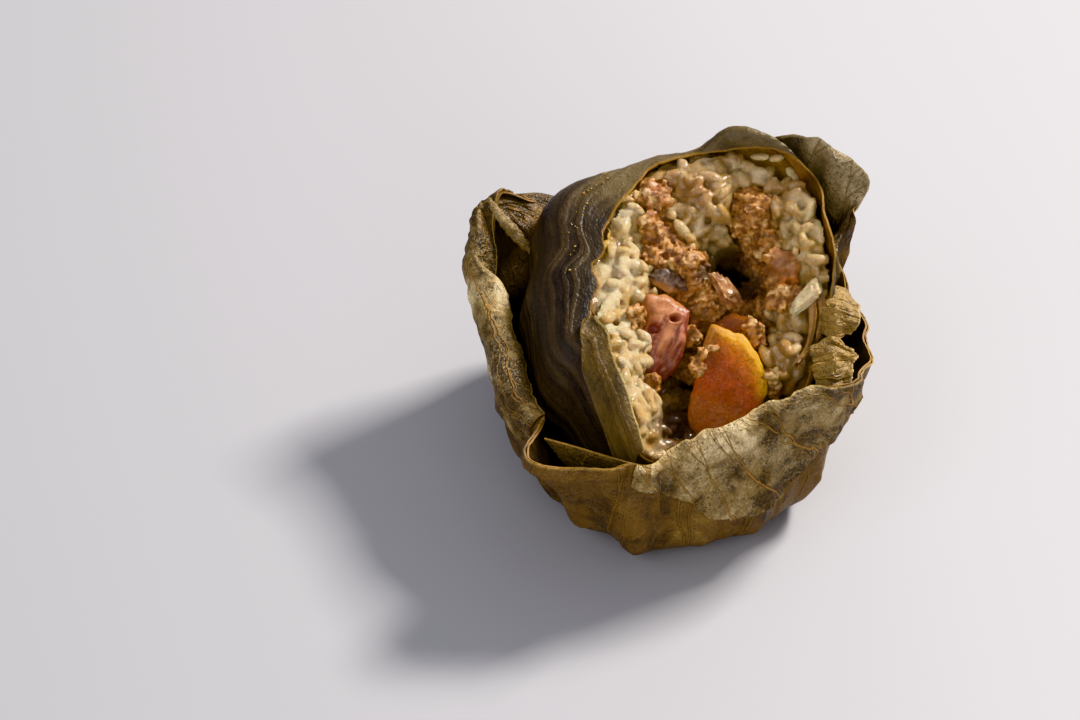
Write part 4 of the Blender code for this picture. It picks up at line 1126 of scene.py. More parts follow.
# %% Scatter tree
def scatter_tree():
    """Geometry Nodes: copies of a collection's objects over a surface."""
    tree = bpy.data.node_groups.new("scatter over a surface", "GeometryNodeTree")
    add_sockets(tree, "INPUT", "Geometry", "Surface")
    add_sockets(tree, "INPUT", "Collection", "Pieces")
    add_sockets(tree, "INPUT", "String", "Where")
    add_sockets(tree, "INPUT", "Float", "Apart", "Density", "Tip", "Sink", "Smallest", "Largest")
    add_sockets(tree, "INPUT", "Int", "Seed")
    add_sockets(tree, "INPUT", "Material", "Finish")
    add_sockets(tree, "OUTPUT", "Geometry", "Copies")
    given = tree.nodes.new("NodeGroupInput").outputs
    share = wire(tree, "GeometryNodeInputNamedAttribute", {"Name": given["Where"]}, data_type="FLOAT")
    points = wire(tree, "GeometryNodeDistributePointsOnFaces", {
        "Mesh": given["Surface"], "Distance Min": given["Apart"], "Density Max": given["Density"],
        "Density Factor": share.outputs["Attribute"], "Seed": given["Seed"]}, distribute_method="POISSON")
    drop = wire(tree, "ShaderNodeVectorMath", {0: points.outputs["Normal"], "Scale": given["Sink"]}, operation="SCALE")
    lowered = wire(tree, "GeometryNodeSetPosition", {"Geometry": points.outputs["Points"], "Offset": drop.outputs[0]})
    parts = wire(tree, "GeometryNodeCollectionInfo", {
        "Collection": given["Pieces"], "Separate Children": True, "Reset Children": True})
    tip = times(tree, given["Tip"], -1.0)
    low = wire(tree, "ShaderNodeCombineXYZ", {0: tip, 1: tip, 2: 0.0}).outputs[0]
    high = wire(tree, "ShaderNodeCombineXYZ", {0: given["Tip"], 1: given["Tip"], 2: 2.0 * math.pi}).outputs[0]
    angle = wire(tree, "FunctionNodeRandomValue", {0: low, 1: high, "Seed": given["Seed"]}, data_type="FLOAT_VECTOR")
    spin = wire(tree, "FunctionNodeEulerToRotation", {0: angle.outputs[0]})
    turned = wire(tree, "FunctionNodeRotateRotation", {0: points.outputs["Rotation"], 1: spin.outputs[0]},
                  rotation_space="LOCAL")
    size = wire(tree, "FunctionNodeRandomValue", {2: given["Smallest"], 3: given["Largest"], "Seed": given["Seed"]},
                data_type="FLOAT")
    copies = wire(tree, "GeometryNodeInstanceOnPoints", {
        "Points": lowered.outputs[0], "Instance": parts.outputs[0], "Pick Instance": True,
        "Rotation": turned.outputs[0], "Scale": size.outputs[1]})
    real = wire(tree, "GeometryNodeRealizeInstances", {"Geometry": copies.outputs[0]})
    painted = wire(tree, "GeometryNodeSetMaterial", {"Geometry": real.outputs[0], "Material": given["Finish"]})
    tree.links.new(painted.outputs[0], tree.nodes.new("NodeGroupOutput").inputs[0])
    return tree


SCATTER = scatter_tree()
SOCKETS = {item.name: item.identifier for item in SCATTER.interface.items_tree if item.in_out == "INPUT"}


def scattered(name, surface, **values):
    """Run the scatter tree over a surface and give back the copies as a plain piece."""
    piece = add_object(name, surface)
    modifier = piece.modifiers.new("scatter", "NODES")
    modifier.node_group = SCATTER
    for label, value in values.items():
        modifier[SOCKETS[label]] = value
    return bake(piece)


def set_aside(piece):
    """Take a helper piece out of the scene and give back its mesh."""
    mesh = piece.data
    bpy.data.objects.remove(piece)
    return mesh

print("scatter tree:", len(SCATTER.nodes), "nodes")

# %% [markdown]
# ## A finish for rice
#
# A cooked glutinous grain is milky, lets light a little way in, and is glazed by its own
# starch and by the fat and soy that ran out of the filling, which stain it yellow to
# amber in patches. The amber in the creases between grains is partly that glaze and partly
# painted shade, and the rice is also painted darker low down and in deep hollows as shade.
# Subsurface scattering gives the milky depth and a clear coat the glaze.

# %% Rice material
def rice_finish():
    """Translucent rice: two whites mixed grain by grain, amber in patches, and amber painted shade in creases."""
    material, tree, shader = new_material("sticky rice")
    where = millimetres(tree)
    colour = mix_colour(tree, read(tree, "tone"), tone(216, 178, 110), tone(246, 226, 180))
    stain = patches(tree, where, (8.0, 4.0, 0.6), 0.46, 0.74, 0.0, 0.6)
    stain = calculate(tree, "MAXIMUM", stain, read(tree, "stain"))
    colour = mix_colour(tree, calculate(tree, "MINIMUM", stain, 0.9), colour, tone(168, 112, 40))
    # Creases: amber that is partly glaze and partly painted shade.
    colour = stained(tree, colour, [("crease", 0.7, (128, 82, 26))])
    colour = mix_colour(tree, patches(tree, where, (2.2, 4.0, 0.6), 0.56, 0.70, 0.0, 0.5), colour, tone(246, 230, 192))
    # The dark layer is painted shade in the deep hollows and low at the left.
    colour = stained(tree, colour, [("gold", 1.0, (222, 172, 40)), ("dark", 1.0, (64, 36, 14))])
    fill(tree, shader, {
        "Base Color": colour, "Roughness": patches(tree, where, (1.6, 4.0), 0.3, 0.7, 0.2, 0.45),
        "Subsurface Weight": 0.8, "Subsurface Radius": (1.0, 0.66, 0.30), "Subsurface Scale": 0.0016,
        "IOR": 1.42, "Transmission Weight": 0.22, "Coat Weight": 0.7, "Coat Roughness": 0.08,
        "Normal": bump(tree, spots(tree, where, 0.9, 6.0, 0.85), 0.6)})
    return material


RICE_FINISH = rice_finish()
print("rice finish:", len(RICE_FINISH.node_tree.nodes), "nodes")

# %% [markdown]
# ## Rice
#
# A swollen grain is a plump spindle, a little bent, blunt at one end. Six kernels differ
# in length, bend and plumpness, one of them broken; each has only eighty faces. They go
# only where the rice is open: not against the leaf, and not under mince, pork or yolk.

# %% Rice kernels
KERNEL_POINTS = 42


def kernel(number, length, width, bend, blunt):
    """One grain of rice along X, from an icosphere of eighty faces."""
    ball = bmesh.new()
    bmesh.ops.create_icosphere(ball, subdivisions=2, radius=1.0)
    dents = 1.0 + 0.10 * soft_noise(np.array([vert.co[:] for vert in ball.verts]) + 9.0 * number, 0.7, 55)
    for vert, dent in zip(ball.verts, dents):
        x, y, z = vert.co
        x = math.copysign(abs(x) ** 0.85, x)
        fat = (1.0 - 0.10 * x * x) * (1.0 + blunt * x) * dent
        vert.co = Vector((0.5 * length * x, 0.5 * width * y * fat, 0.46 * width * z * fat + bend * (1 - x * x))) * MM
    return bpy.data.objects.new(f"kernel_{number}", mesh_from(f"kernel_{number}", ball))


kernels = bpy.data.collections.new("kernels")
for number, shape in enumerate(((6.4, 2.9, 0.35, 0.06), (6.0, 3.0, 0.15, -0.05), (7.0, 2.7, 0.6, 0.10),
                                (4.6, 2.9, 0.10, 0.20), (5.6, 2.6, 0.45, 0.0), (6.4, 3.2, 0.25, 0.12))):
    kernels.objects.link(kernel(number, *shape))

# %% Rice mass
rice_mass = remeshed("rice_mass", [solid("rice")], 0.85)
points, dark = sink(relax(rice_mass.data, 3))
to_leaf, to_mince, to_set_in = (distances(points, tree) for tree in (LEAVES_NEAR, MINCE_NEAR, SET_IN))
normals = normals_of(rice_mass.data)
lumps = 0.8 * soft_noise(points, 7.5, 2) + 0.3 * soft_noise(points, 3.0, 3)
free = np.clip(np.minimum(to_leaf - 0.6, to_set_in - 0.4), 0.0, 1.0)
points = points + ((lumps - 0.2) * free)[:, None] * normals
move_points(rice_mass.data, points)
seen = smooth_step(0.9, 1.8, to_leaf) * (points[:, 2] > 20.0) * smooth_step(-0.75, -0.35, normals[:, 2])
in_clumps = np.max([blob(points, middle, np.array(half) + 0.6, 1.25, 0.95) for middle, half in CLUMPS], axis=0)
store(rice_mass.data, open=seen * smooth_step(0.2, 1.0, np.minimum(to_mince, to_set_in))
      * ((dark < 0.5) | (points[:, 2] < 34.0)) * (1.0 - in_clumps))
print("rice mass:", len(points), "points")

# %% Rice grains
AMOUNT = dict(Density=400000.0, Where="open", Pieces=kernels, Finish=RICE_FINISH)
GRAINS = dict(Apart=3.0 * MM, Tip=0.28, Sink=0.4 * MM, Smallest=0.85, Largest=1.12, Seed=3, **AMOUNT)
PROUD = dict(Apart=4.4 * MM, Tip=0.36, Sink=0.7 * MM, Smallest=0.88, Largest=1.1, Seed=11, **AMOUNT)
grains = scattered("grains", rice_mass.data, **GRAINS)
proud = scattered("rice_grains", rice_mass.data, **PROUD)
middles = np.concatenate([points_of(piece.data).reshape(-1, KERNEL_POINTS, 3).mean(axis=1)
                          for piece in (grains, proud)])
random_tone = np.random.default_rng(5).uniform(0.0, 1.0, len(middles))
print("grains:", len(middles))
rice = remeshed("rice_surface", [rice_mass.data, set_aside(grains), proud.data], 0.47)
points = relax(rice.data, 2, 0.4)
waxy = 0.24 * soft_noise(points, 2.6, 18) + 0.20 * soft_noise(points, 1.2, 19)
points = tucked(points + (waxy - 0.05)[:, None] * normals_of(rice.data), 0.7)
move_points(rice.data, points)
grain_tree = KDTree(len(middles))
for number, middle in enumerate(middles):
    grain_tree.insert(middle, number)
grain_tree.balance()
nearest = np.array([grain_tree.find(point)[1] for point in points])


def paint_rice(mesh, points, tones, crease):
    """Keep the values that the rice finish reads, from where the rice is."""
    near_mince = smooth_step(3.5, 0.2, distances(points, MINCE_NEAR, 6.0))
    near_mince = near_mince * (0.5 + 0.5 * soft_noise(points, 5.0, 15))
    # Painted shade: the rice is stained darker low down in the parcel, where shade falls.
    shade_low_down = 1.0 - smooth_step(26.0, 44.0, points[:, 2])
    # Browner at the back and at the lower right.
    back = smooth_step(8.0, 20.0, points[:, 1]) * smooth_step(-16.0, -6.0, points[:, 0])
    right_low = smooth_step(12.0, 20.0, points[:, 0]) * smooth_step(6.0, -4.0, points[:, 1])
    browner_back_and_right = 0.75 * back * (0.7 + 0.6 * soft_noise(points, 9.0, 16)) + 0.45 * right_low
    gold = smooth_step(1.7, 0.9, distances(points, LEAVES_NEAR, 4.0)) * smooth_step(-8.0, -16.0, points[:, 0])
    # Painted shade: the deep hollows and the low left of the rice are painted dark.
    _, dark = sink(points)
    shaded = 0.55 * smooth_step(35.0, 27.0, points[:, 2]) * smooth_step(-16.0, -8.0, points[:, 0])
    store(mesh, tone=tones, crease=crease,
          stain=np.clip(np.maximum(0.8 * near_mince, browner_back_and_right) + 0.7 * shade_low_down, 0.0, 0.9),
          gold=0.6 * gold * smooth_step(0.0, 0.4, soft_noise(points, 6.0, 17)),
          dark=np.maximum(0.9 * dark, shaded))
    mesh.shade_smooth()


paint_rice(rice.data, points, random_tone[nearest], smooth_step(0.0, 0.2, hollowness(rice.data, points)))
near = distances(points, LEAVES_NEAR, 3.0)
unseen = (near < 0.8) | (points[:, 2] < 18.0) | ((near < 2.0) & (points[:, 2] < 30.0))

points = points_of(proud.data)
middles = points.reshape(-1, KERNEL_POINTS, 3).mean(axis=1)
bulge = np.linalg.norm(points - np.repeat(middles, KERNEL_POINTS, axis=0), axis=1)
tones = np.repeat(random_tone[-len(middles):], KERNEL_POINTS)
paint_rice(proud.data, points, tones, 0.3 * smooth_step(2.6, 1.2, bulge))
dents = 0.22 * soft_noise(points, 1.8, 20)
move_points(proud.data, tucked(points + (dents - 0.04)[:, None] * normals_of(proud.data), 0.65))
stand_for(proud, "rice")
keep_seen(rice, unseen)
stand_for(rice, "rice", RICE_FINISH)

body = remeshed("rice_body", [solid("rice")], 2.0)
points, _ = sink(relax(body.data, 2))
move_points(body.data, points - (0.8 * (distances(points, LEAVES_NEAR) > 1.2))[:, None] * normals_of(body.data))
store(body.data, tone=0.3, crease=0.3, stain=0.6, gold=0.0, dark=0.3)
stand_for(body, "rice", RICE_FINISH)
set_aside(rice_mass)

# %% [markdown]
# ## Mince
#
# The minced pork is braised, brown and crumbly: ragged clumps with deep dark crevices,
# glistening with fat, and small crumbs everywhere. Ragged crumbs are scattered over the
# solid's mince and over a few smaller clumps, all is melted together, and noise of three
# sizes breaks the skin up.

# %% Mince shapes
def ball_into(made, subdivisions, shape):
    """Add an icosphere, whose unit points a function turns into places in millimetres."""
    verts = bmesh.ops.create_icosphere(made, subdivisions=subdivisions, radius=1.0)["verts"]
    for vert, spot in zip(verts, shape(np.array([vert.co[:] for vert in verts]))):
        vert.co = Vector(spot * MM)


def clump(number, middle, half):
    """A ragged ball of meat at a place, pushed about by noise."""
    def shape(ways):
        rough = 1.0 + 0.30 * soft_noise(ways + 5.0 * number, 0.8, 31)
        return ways * rough[:, None] * half + np.array(middle)

    ball = bmesh.new()
    ball_into(ball, 3, shape)
    return mesh_from(f"clump_{number}", ball)


def crumb(number, half):
    """A ragged crumb of meat, pushed about by noise."""
    def shape(ways):
        rough = 1.0 + 0.55 * soft_noise(ways + 7.0 * number, 0.8, 61) + 0.25 * soft_noise(ways, 0.35, 62 + number)
        return ways * rough[:, None] * np.array(half)

    ball = bmesh.new()
    ball_into(ball, 2, shape)
    return bpy.data.objects.new(f"crumb_{number}", mesh_from(f"crumb_{number}", ball))


crumbs = bpy.data.collections.new("crumbs")
for number, half in enumerate(((1.3, 1.2, 1.0), (0.9, 0.8, 0.8), (1.7, 1.0, 0.9), (0.6, 0.6, 0.5), (1.2, 1.5, 0.9))):
    crumbs.objects.link(crumb(number, half))

SMOOTH_MEAT = ((21.1, 5.4, 54.6), (5.0, 3.8, 3.8), 1.35, 0.9)
ORANGE_MEAT = ((22.6, -0.4, 53.2), (4.6, 2.2, 2.0), 1.2, 0.6)
mince_mass = remeshed("mince_mass", [solid("mince_filling")] + [clump(i, *row) for i, row in enumerate(CLUMPS)], 0.7)
points, _ = sink(relax(mince_mass.data, 2))
guard = distances(points, SET_IN)
normals = normals_of(mince_mass.data)
crags = 1.2 * soft_noise(points, 4.6, 11) + 0.9 * (ridged_noise(points, 3.2, 12) - 0.45)
points = points + (crags * np.clip(guard - 0.2, 0.05, 1.0))[:, None] * normals
move_points(mince_mass.data, points)
store(mince_mass.data, open=smooth_step(0.2, 1.0, guard) * (points[:, 2] > 24.0) * (normals[:, 2] > -0.5)
      * (1.0 - blob(points, *SMOOTH_MEAT)))
MINCE_AMOUNT = dict(Apart=1.25 * MM, Density=600000.0, Tip=1.2, Sink=0.1 * MM, Smallest=0.5, Largest=1.2)
loose = set_aside(scattered("loose crumbs", mince_mass.data, Pieces=crumbs, Where="open", Seed=8, **MINCE_AMOUNT))
mince = remeshed("mince", [mince_mass.data, loose], 0.38)
set_aside(mince_mass)
points = relax(mince.data, 1)
smooth_meat = blob(points, *SMOOTH_MEAT)
grit = 0.50 * (ridged_noise(points, 1.5, 14) - 0.45) + 0.30 * soft_noise(points, 0.9, 15)
points = points + (grit * (1.0 - 0.7 * smooth_meat))[:, None] * normals_of(mince.data)
move_points(mince.data, points)
_, dark = sink(points)
# Creases and deep hollows get values for painted shade.
store(mince.data, crease=smooth_step(0.0, 0.34, hollowness(mince.data, points, 4)), dark=0.8 * dark,
      pink=smooth_meat, orange=blob(points, *ORANGE_MEAT))
mince.data.shade_smooth()
print("mince:", len(points), "points")

# %% [markdown]
# ## A finish for the mince
#
# Warm browns lie in patches over each other, with redder spots where the sauce caught.
# The crevices and deep hollows are painted almost black as shade, and a thin coat of fat makes the crumbs glisten.

# %% Mince material
def mince_finish():
    """Braised mince: warm browns mixed in patches, painted shade in creases and hollows, wet fat."""
    material, tree, shader = new_material("braised mince")
    where = millimetres(tree)
    aside = wire(tree, "ShaderNodeVectorMath", {0: where, 1: (31.0, 17.0, 5.0)}, operation="ADD").outputs[0]
    colour = mix_colour(tree, patches(tree, where, (2.2, 5.0, 0.65), 0.38, 0.60), tone(124, 78, 35), tone(204, 146, 82))
    colour = mix_colour(tree, patches(tree, where, (4.4, 4.0, 0.6), 0.52, 0.66), colour, tone(234, 194, 132))
    colour = mix_colour(tree, patches(tree, aside, (4.0, 3.0), 0.56, 0.70, 0.0, 0.7), colour, tone(164, 88, 36))
    colour = stained(tree, colour, [("pink", 0.8, (150, 100, 64)), ("orange", 0.8, (196, 112, 40)),
                                    ("crease", 0.8, (66, 32, 10)), ("dark", 1.0, (40, 20, 8))])
    fill(tree, shader, {
        "Base Color": colour, "Roughness": patches(tree, where, (1.2, 3.0), 0.3, 0.7, 0.32, 0.68),
        "Subsurface Weight": 0.15, "Subsurface Radius": (1.0, 0.45, 0.22), "Subsurface Scale": 0.0008,
        "Coat Weight": 0.45, "Coat Roughness": 0.12,
        "Normal": bump(tree, spots(tree, where, 0.6, 6.0, 0.8), 0.42)})
    return material


MINCE_FINISH = mince_finish()
keep_seen(mince, points[:, 2] < -1.0)
stand_for(mince, "mince_filling", MINCE_FINISH)

# %% [markdown]
# ## Cured pork
#
# The chunk of cured pork was cut across, and its fibres run down the face. It is
# pink-red and moist, maroon where it is lean and stained, orange where fat runs through
# it, with a reddish rim and a small hole near the top. Positions are worked out in the
# chunk's own frame: across, through, and along the fibres.

# %% Pork
def turned_by(turn):
    """A turn given in degrees, as an array."""
    return np.array(Euler([math.radians(angle) for angle in turn]).to_matrix())


PORK_PLACE, PORK_TURN = (-8.3, -9.5, 42.0), turned_by((-38, 10, 8))
pork = remeshed("pork", [solid("cured_pork")], 0.45)
points = relax(pork.data, 5)
local = (points - np.array(PORK_PLACE)) @ PORK_TURN
lean = local[:, 0] - 0.35 * local[:, 2]
grain = np.stack([lean, local[:, 1], local[:, 2] / 7.0 + 0.1 * lean], -1)
fibres = 0.20 * (ridged_noise(grain, 1.5, 71) - 0.4) + 0.16 * (ridged_noise(grain, 0.7, 72) - 0.4)
broad = 0.7 * soft_noise(local, 5.0, 73) + 0.35 * soft_noise(local, 2.0, 74)
torn = 0.55 * soft_noise(local, 1.5, 77)
hole = np.linalg.norm((local - (2.1, -4.9, 5.2)) * (0.9, 0.6, 1.35), axis=-1) + torn
nick = np.linalg.norm((local - (-3.0, -4.6, 2.2)) * (0.8, 0.6, 1.2), axis=-1) + torn
push = fibres + broad - 1.7 * smooth_step(1.5, 0.5, hole) + 0.5 * between(1.5, 2.3, 0.3, hole)
push = push - 1.1 * smooth_step(1.5, 0.4, nick)
points = points + push[:, None] * normals_of(pork.data)
move_points(pork.data, points)
pork.data.shade_smooth()
fat_line = np.abs(local[:, 0] - 1.2 - 0.30 * (local[:, 2] - 3.0))
# The hole and the nick are painted darker red: painted shade.
store(pork.data,
      sunk=np.maximum(smooth_step(1.6, 0.7, hole), 0.7 * smooth_step(1.6, 0.5, nick)),
      fibre=0.5 * ridged_noise(grain, 1.1, 75) + 0.5 * ridged_noise(grain, 0.6, 76),
      top=smooth_step(4.2, 6.8, local[:, 2] - 0.55 * local[:, 0]),
      low=smooth_step(1.0, -7.5, local[:, 2] + 0.5 * local[:, 0]),
      side=smooth_step(3.4, 5.4, local[:, 0]),
      fat=smooth_step(1.9, 0.4, fat_line) * between(-3.0, 4.6, 1.6, local[:, 2]))


def pork_finish():
    """Cured pork: fibres of pink and red, maroon low down, fat, a browner cut top."""
    material, tree, shader = new_material("cured pork")
    where = millimetres(tree)
    cloud = spots(tree, where, 3.0, 4.0, 0.6)
    colour = mix_colour(tree, fade(tree, read(tree, "fibre"), 0.2, 0.6), tone(122, 58, 40), tone(184, 118, 84))
    colour = stained(tree, colour, [("low", 0.8, (104, 48, 36))])
    pale_lines = times(tree, fade(tree, read(tree, "fibre"), 0.55, 0.95), read(tree, "low"))
    colour = tint(tree, colour, pale_lines, 0.6, (188, 132, 118))
    colour = stained(tree, colour, [("fat", 0.8, (216, 146, 98)), ("side", 0.65, (128, 58, 42)),
                                    ("top", 0.85, (174, 112, 62)), ("sunk", 0.85, (112, 34, 26))])
    colour = mix_colour(tree, fade(tree, cloud, 0.55, 0.8, 0.0, 0.35), colour, tone(150, 66, 48))
    fill(tree, shader, {
        "Base Color": colour, "Roughness": fade(tree, cloud, 0.3, 0.7, 0.36, 0.58),
        "Subsurface Weight": 0.2, "Subsurface Radius": (1.0, 0.35, 0.2), "Subsurface Scale": 0.0008,
        "Coat Weight": 0.3, "Coat Roughness": 0.24, "Normal": bump(tree, spots(tree, where, 0.55, 5.0, 0.75), 0.26)})
    return material


stand_for(pork, "cured_pork", pork_finish())

# %% [markdown]
# ## Salted egg yolk
#
# A salted yolk cuts like firm cheese. Its middle is deep orange, and its lower part paler with
# whitish streaks. Its rim at the upper right is painted bright yellow-orange where the light
# falls on it: painted light. The cut face is finely grainy, and fat leaves tiny glints; fine
# bright specks are painted on it as glints too.

# %% Yolk
YOLK_PLACE, YOLK_TURN, YOLK_THICKNESS = (9.0, -20.5, 37.0), turned_by((55, 0, -8)), 7.5
YOLK_OUTLINE = (
    (0, 8.9), (15, 9.1), (34, 9.3), (54, 9.7), (74, 11.4), (84, 12.7), (92, 12.7), (105, 14.0), (116, 15.2),
    (122, 13.6), (134, 11.2), (150, 9.3), (180, 8.8), (205, 10.4), (224, 13.0), (238, 14.6), (264, 11.8),
    (300, 9.6), (335, 8.8))
SLIVER_PLACE, SLIVER_TURN, SLIVER_THICKNESS = (10.0, -7.0, 41.5), turned_by((55, 0, -20)), 2.4
SLIVER_OUTLINE = ((0, 6.2), (50, 6.0), (85, 5.2), (120, 5.6), (180, 5.5), (270, 8.0))

# The domed back, from the rim inward: share of the outline, and share of the thickness.
BACK = ((0.99, 0.10), (1.01, 0.22), (1.0, 0.36), (0.97, 0.5), (0.92, 0.63), (0.85, 0.75), (0.74, 0.86),
        (0.6, 0.94), (0.4, 0.99), (0.2, 1.0))


def yolk_slice(name, outline, middle, turn, thickness, seed, sides=132, rings=34):
    """A cut slice of yolk: a finely grained face, and a domed back."""
    angles = np.arange(sides) * 360.0 / sides
    edge = around(outline, angles)[:, 0]
    unit = circle(angles)
    edge = edge + 0.30 * soft_noise(unit * 12, 2.4, seed) + 0.16 * soft_noise(unit * 12, 0.9, seed + 1)
    rows, rims = [], []
    for share in np.linspace(0.0, 1.0, rings) ** 0.8:
        level = -0.5 * smooth_step(0.90, 1.0, share) * np.ones(sides)
        rows.append(np.stack([share * 0.97 * edge * unit[:, 0], share * 0.97 * edge * unit[:, 1], level], -1))
        rims.append(edge * (1.0 - share))
    for share, depth in BACK:
        rows.append(np.stack([share * edge * unit[:, 0], share * edge * unit[:, 1], 0 * edge - thickness * depth], -1))
        rims.append(0 * edge + 5.0 * depth)
    rows = np.stack(rows, axis=1)
    flat = rows.reshape(-1, 3)
    rough = 0.34 * soft_noise(flat, 4.5, seed + 2) + 0.16 * soft_noise(flat, 1.6, seed + 3)
    rough += 0.10 * (ridged_noise(flat, 1.0, seed + 4) - 0.4)
    flat = flat + np.stack([0 * rough, 0 * rough, rough], -1)
    flat = flat * (1.0 + 0.012 * soft_noise(flat, 0.9, seed + 5))[:, None]
    count = rows.shape[1]
    quads = []
    for i in range(sides):
        j = (i + 1) % sides
        quads += [(i * count + k, i * count + k + 1, j * count + k + 1, j * count + k) for k in range(count - 1)]
    mesh = bpy.data.meshes.new(name)
    mesh.from_pydata(((flat @ turn.T + np.array(middle)) * MM).tolist(), [], quads)
    store(mesh, rim=np.stack(rims, axis=1), up=flat[:, 1] + 0.25 * flat[:, 0], right=flat[:, 0])
    closed = bmesh.new()
    closed.from_mesh(mesh)
    bmesh.ops.remove_doubles(closed, verts=closed.verts, dist=2e-6)
    bmesh.ops.holes_fill(closed, edges=[e for e in closed.edges if e.is_boundary], sides=0)
    bmesh.ops.recalc_face_normals(closed, faces=closed.faces)
    closed.to_mesh(mesh)
    closed.free()
    mesh.shade_smooth()
    return add_object(name, mesh)


def yolk_finish(name, centre, lit_band_colour, rim, low, rim_width):
    """Salted yolk: deep orange, painted light at the upper right rim, pale and streaked low down, painted glints."""
    material, tree, shader = new_material(name)
    where = millimetres(tree)
    from_rim, from_middle, rightward = (read(tree, label) for label in ("rim", "up", "right"))
    cloud = spots(tree, where, 5.0, 5.0, 0.6)
    shift = times(tree, calculate(tree, "SUBTRACT", cloud, 0.5), 2.4)
    near = fade(tree, plus(tree, from_rim, shift), 0.2, rim_width, 1.0, 0.0)
    wide = fade(tree, plus(tree, from_rim, times(tree, shift, 2.0)), 0.8, 2.6 * rim_width, 1.0, 0.0)
    # Painted light: the bright rim colours go only where the rim faces the light, at the upper right.
    lit_upper_right = fade(tree, plus(tree, times(tree, rightward, 0.5), from_middle), 1.0, 8.0)
    below = fade(tree, plus(tree, from_middle, times(tree, shift, 1.2)), -1.0, -8.0, 0.0, 0.8)
    brighter = [min(255, int(value * 1.12)) for value in centre]
    colour = mix_colour(tree, fade(tree, cloud, 0.3, 0.7), tone(*centre), tone(*brighter))
    colour = mix_colour(tree, below, colour, tone(*low))
    streak = times(tree, patches(tree, where, (3.4, 5.0, 0.7, 1.2), 0.60, 0.70), below)
    smear = times(tree, fade(tree, rightward, -1.0, -6.0), fade(tree, plus(tree, from_middle, shift), 1.0, 5.0))
    # Fine bright specks over the face: painted glints.
    grit = wire(tree, "ShaderNodeTexVoronoi", {"Vector": where, "Scale": 1.25})
    glint_specks = times(tree, fade(tree, grit.outputs["Distance"], 0.12, 0.34, 1.0, 0.0),
                  patches(tree, where, (1.8, 3.0), 0.46, 0.58))
    pores = patches(tree, where, (0.7, 4.0, 0.7), 0.46, 0.60, 0.0, 0.35)
    for mask, share, shade in (
            (streak, 0.7, (232, 178, 118)), (times(tree, wide, lit_upper_right), 1.0, lit_band_colour),
            (times(tree, near, lit_upper_right), 1.0, rim), (smear, 0.7, (150, 92, 42)), (glint_specks, 0.55, (246, 190, 104)),
            (pores, 1.0, (96, 36, 2))):
        colour = tint(tree, colour, mask, share, shade)
    fill(tree, shader, {
        "Base Color": colour, "Roughness": patches(tree, where, (0.8, 3.0), 0.35, 0.65, 0.34, 0.62),
        "Subsurface Weight": 0.45, "Subsurface Radius": (1.0, 0.40, 0.08), "Subsurface Scale": 0.0018,
        "Coat Weight": 0.3, "Coat Roughness": 0.2, "Normal": bump(tree, spots(tree, where, 0.5, 6.0, 0.85), 0.34)})
    return material


yolk = yolk_slice("yolk", YOLK_OUTLINE, YOLK_PLACE, YOLK_TURN, YOLK_THICKNESS, 81)
yolk_look = yolk_finish("salted yolk", (184, 82, 0), (240, 140, 4), (255, 190, 30), (200, 118, 38), 3.6)
stand_for(yolk, "egg_yolk", yolk_look)
sliver = yolk_slice("yolk_sliver", SLIVER_OUTLINE, SLIVER_PLACE, SLIVER_TURN, SLIVER_THICKNESS, 91, 90, 22)
# The sliver takes a darker copy of the yolk's colours: painted shade.
shaded_sliver_look = yolk_finish("yolk sliver", (146, 78, 16), (186, 104, 12), (214, 134, 30), (118, 62, 18), 1.6)
stand_for(sliver, "egg_yolk_sliver", shaded_sliver_look)

# %% [markdown]
# ## Mushroom
#
# A braised shiitake slice: a thin, curled wedge, dark and glistening on top with a fine
# wrinkle, tan along its lower edge, and pointed at its right end.

# %% Mushroom
MUSHROOM_PLACE, MUSHROOM_HALF, MUSHROOM_TURN = (-6.6, 0.3, 52.0), (5.0, 2.8), turned_by((25, 18, -10))
mushroom = remeshed("mushroom", [solid("mushroom_slice")], 0.3)
local = (relax(mushroom.data, 5) - np.array(MUSHROOM_PLACE)) @ MUSHROOM_TURN
share = np.clip(local[:, 0] / MUSHROOM_HALF[0], -1.2, 1.2)
narrow = 1.0 - 0.55 * smooth_step(0.2, 1.1, share) - 0.15 * smooth_step(-0.3, -1.1, share)
local = local * np.stack([np.ones(len(share)) * 1.05, narrow, narrow], -1)
local[:, 2] += 0.4 * local[:, 1] / MUSHROOM_HALF[1] - 0.9 * (share ** 2) * 0.6
wrinkles = 0.28 * (ridged_noise(local, 1.5, 95) - 0.4) + 0.22 * soft_noise(local, 1.0, 96)
local = local + wrinkles[:, None] * (normals_of(mushroom.data) @ MUSHROOM_TURN)
move_points(mushroom.data, local @ MUSHROOM_TURN.T + np.array(MUSHROOM_PLACE))
mushroom.data.shade_smooth()
store(mushroom.data, low=smooth_step(-0.9, -2.2, local[:, 1]))


def mushroom_finish():
    """Braised mushroom: grey-brown, wet and finely wrinkled, tan at the cut edge."""
    material, tree, shader = new_material("braised mushroom")
    where = millimetres(tree)
    colour = mix_colour(tree, patches(tree, where, (1.4, 4.0), 0.35, 0.65), tone(52, 36, 28), tone(124, 94, 70))
    colour = stained(tree, colour, [("low", 1.0, (164, 114, 66))])
    fill(tree, shader, {"Base Color": colour, "Roughness": 0.5, "Coat Weight": 0.25, "Coat Roughness": 0.25,
                        "Normal": bump(tree, spots(tree, where, 0.6, 5.0, 0.8), 0.4)})
    return material


stand_for(mushroom, "mushroom_slice", mushroom_finish())

# %% [markdown]
# ## Small pieces of leaf
#
# The same leaf builder makes the smaller pieces: the rolled arm that comes down from the
# left peak, the upright pleat in the front corner, and two crumpled shreds at the right.
# Each is a grid of points through a few named ones.

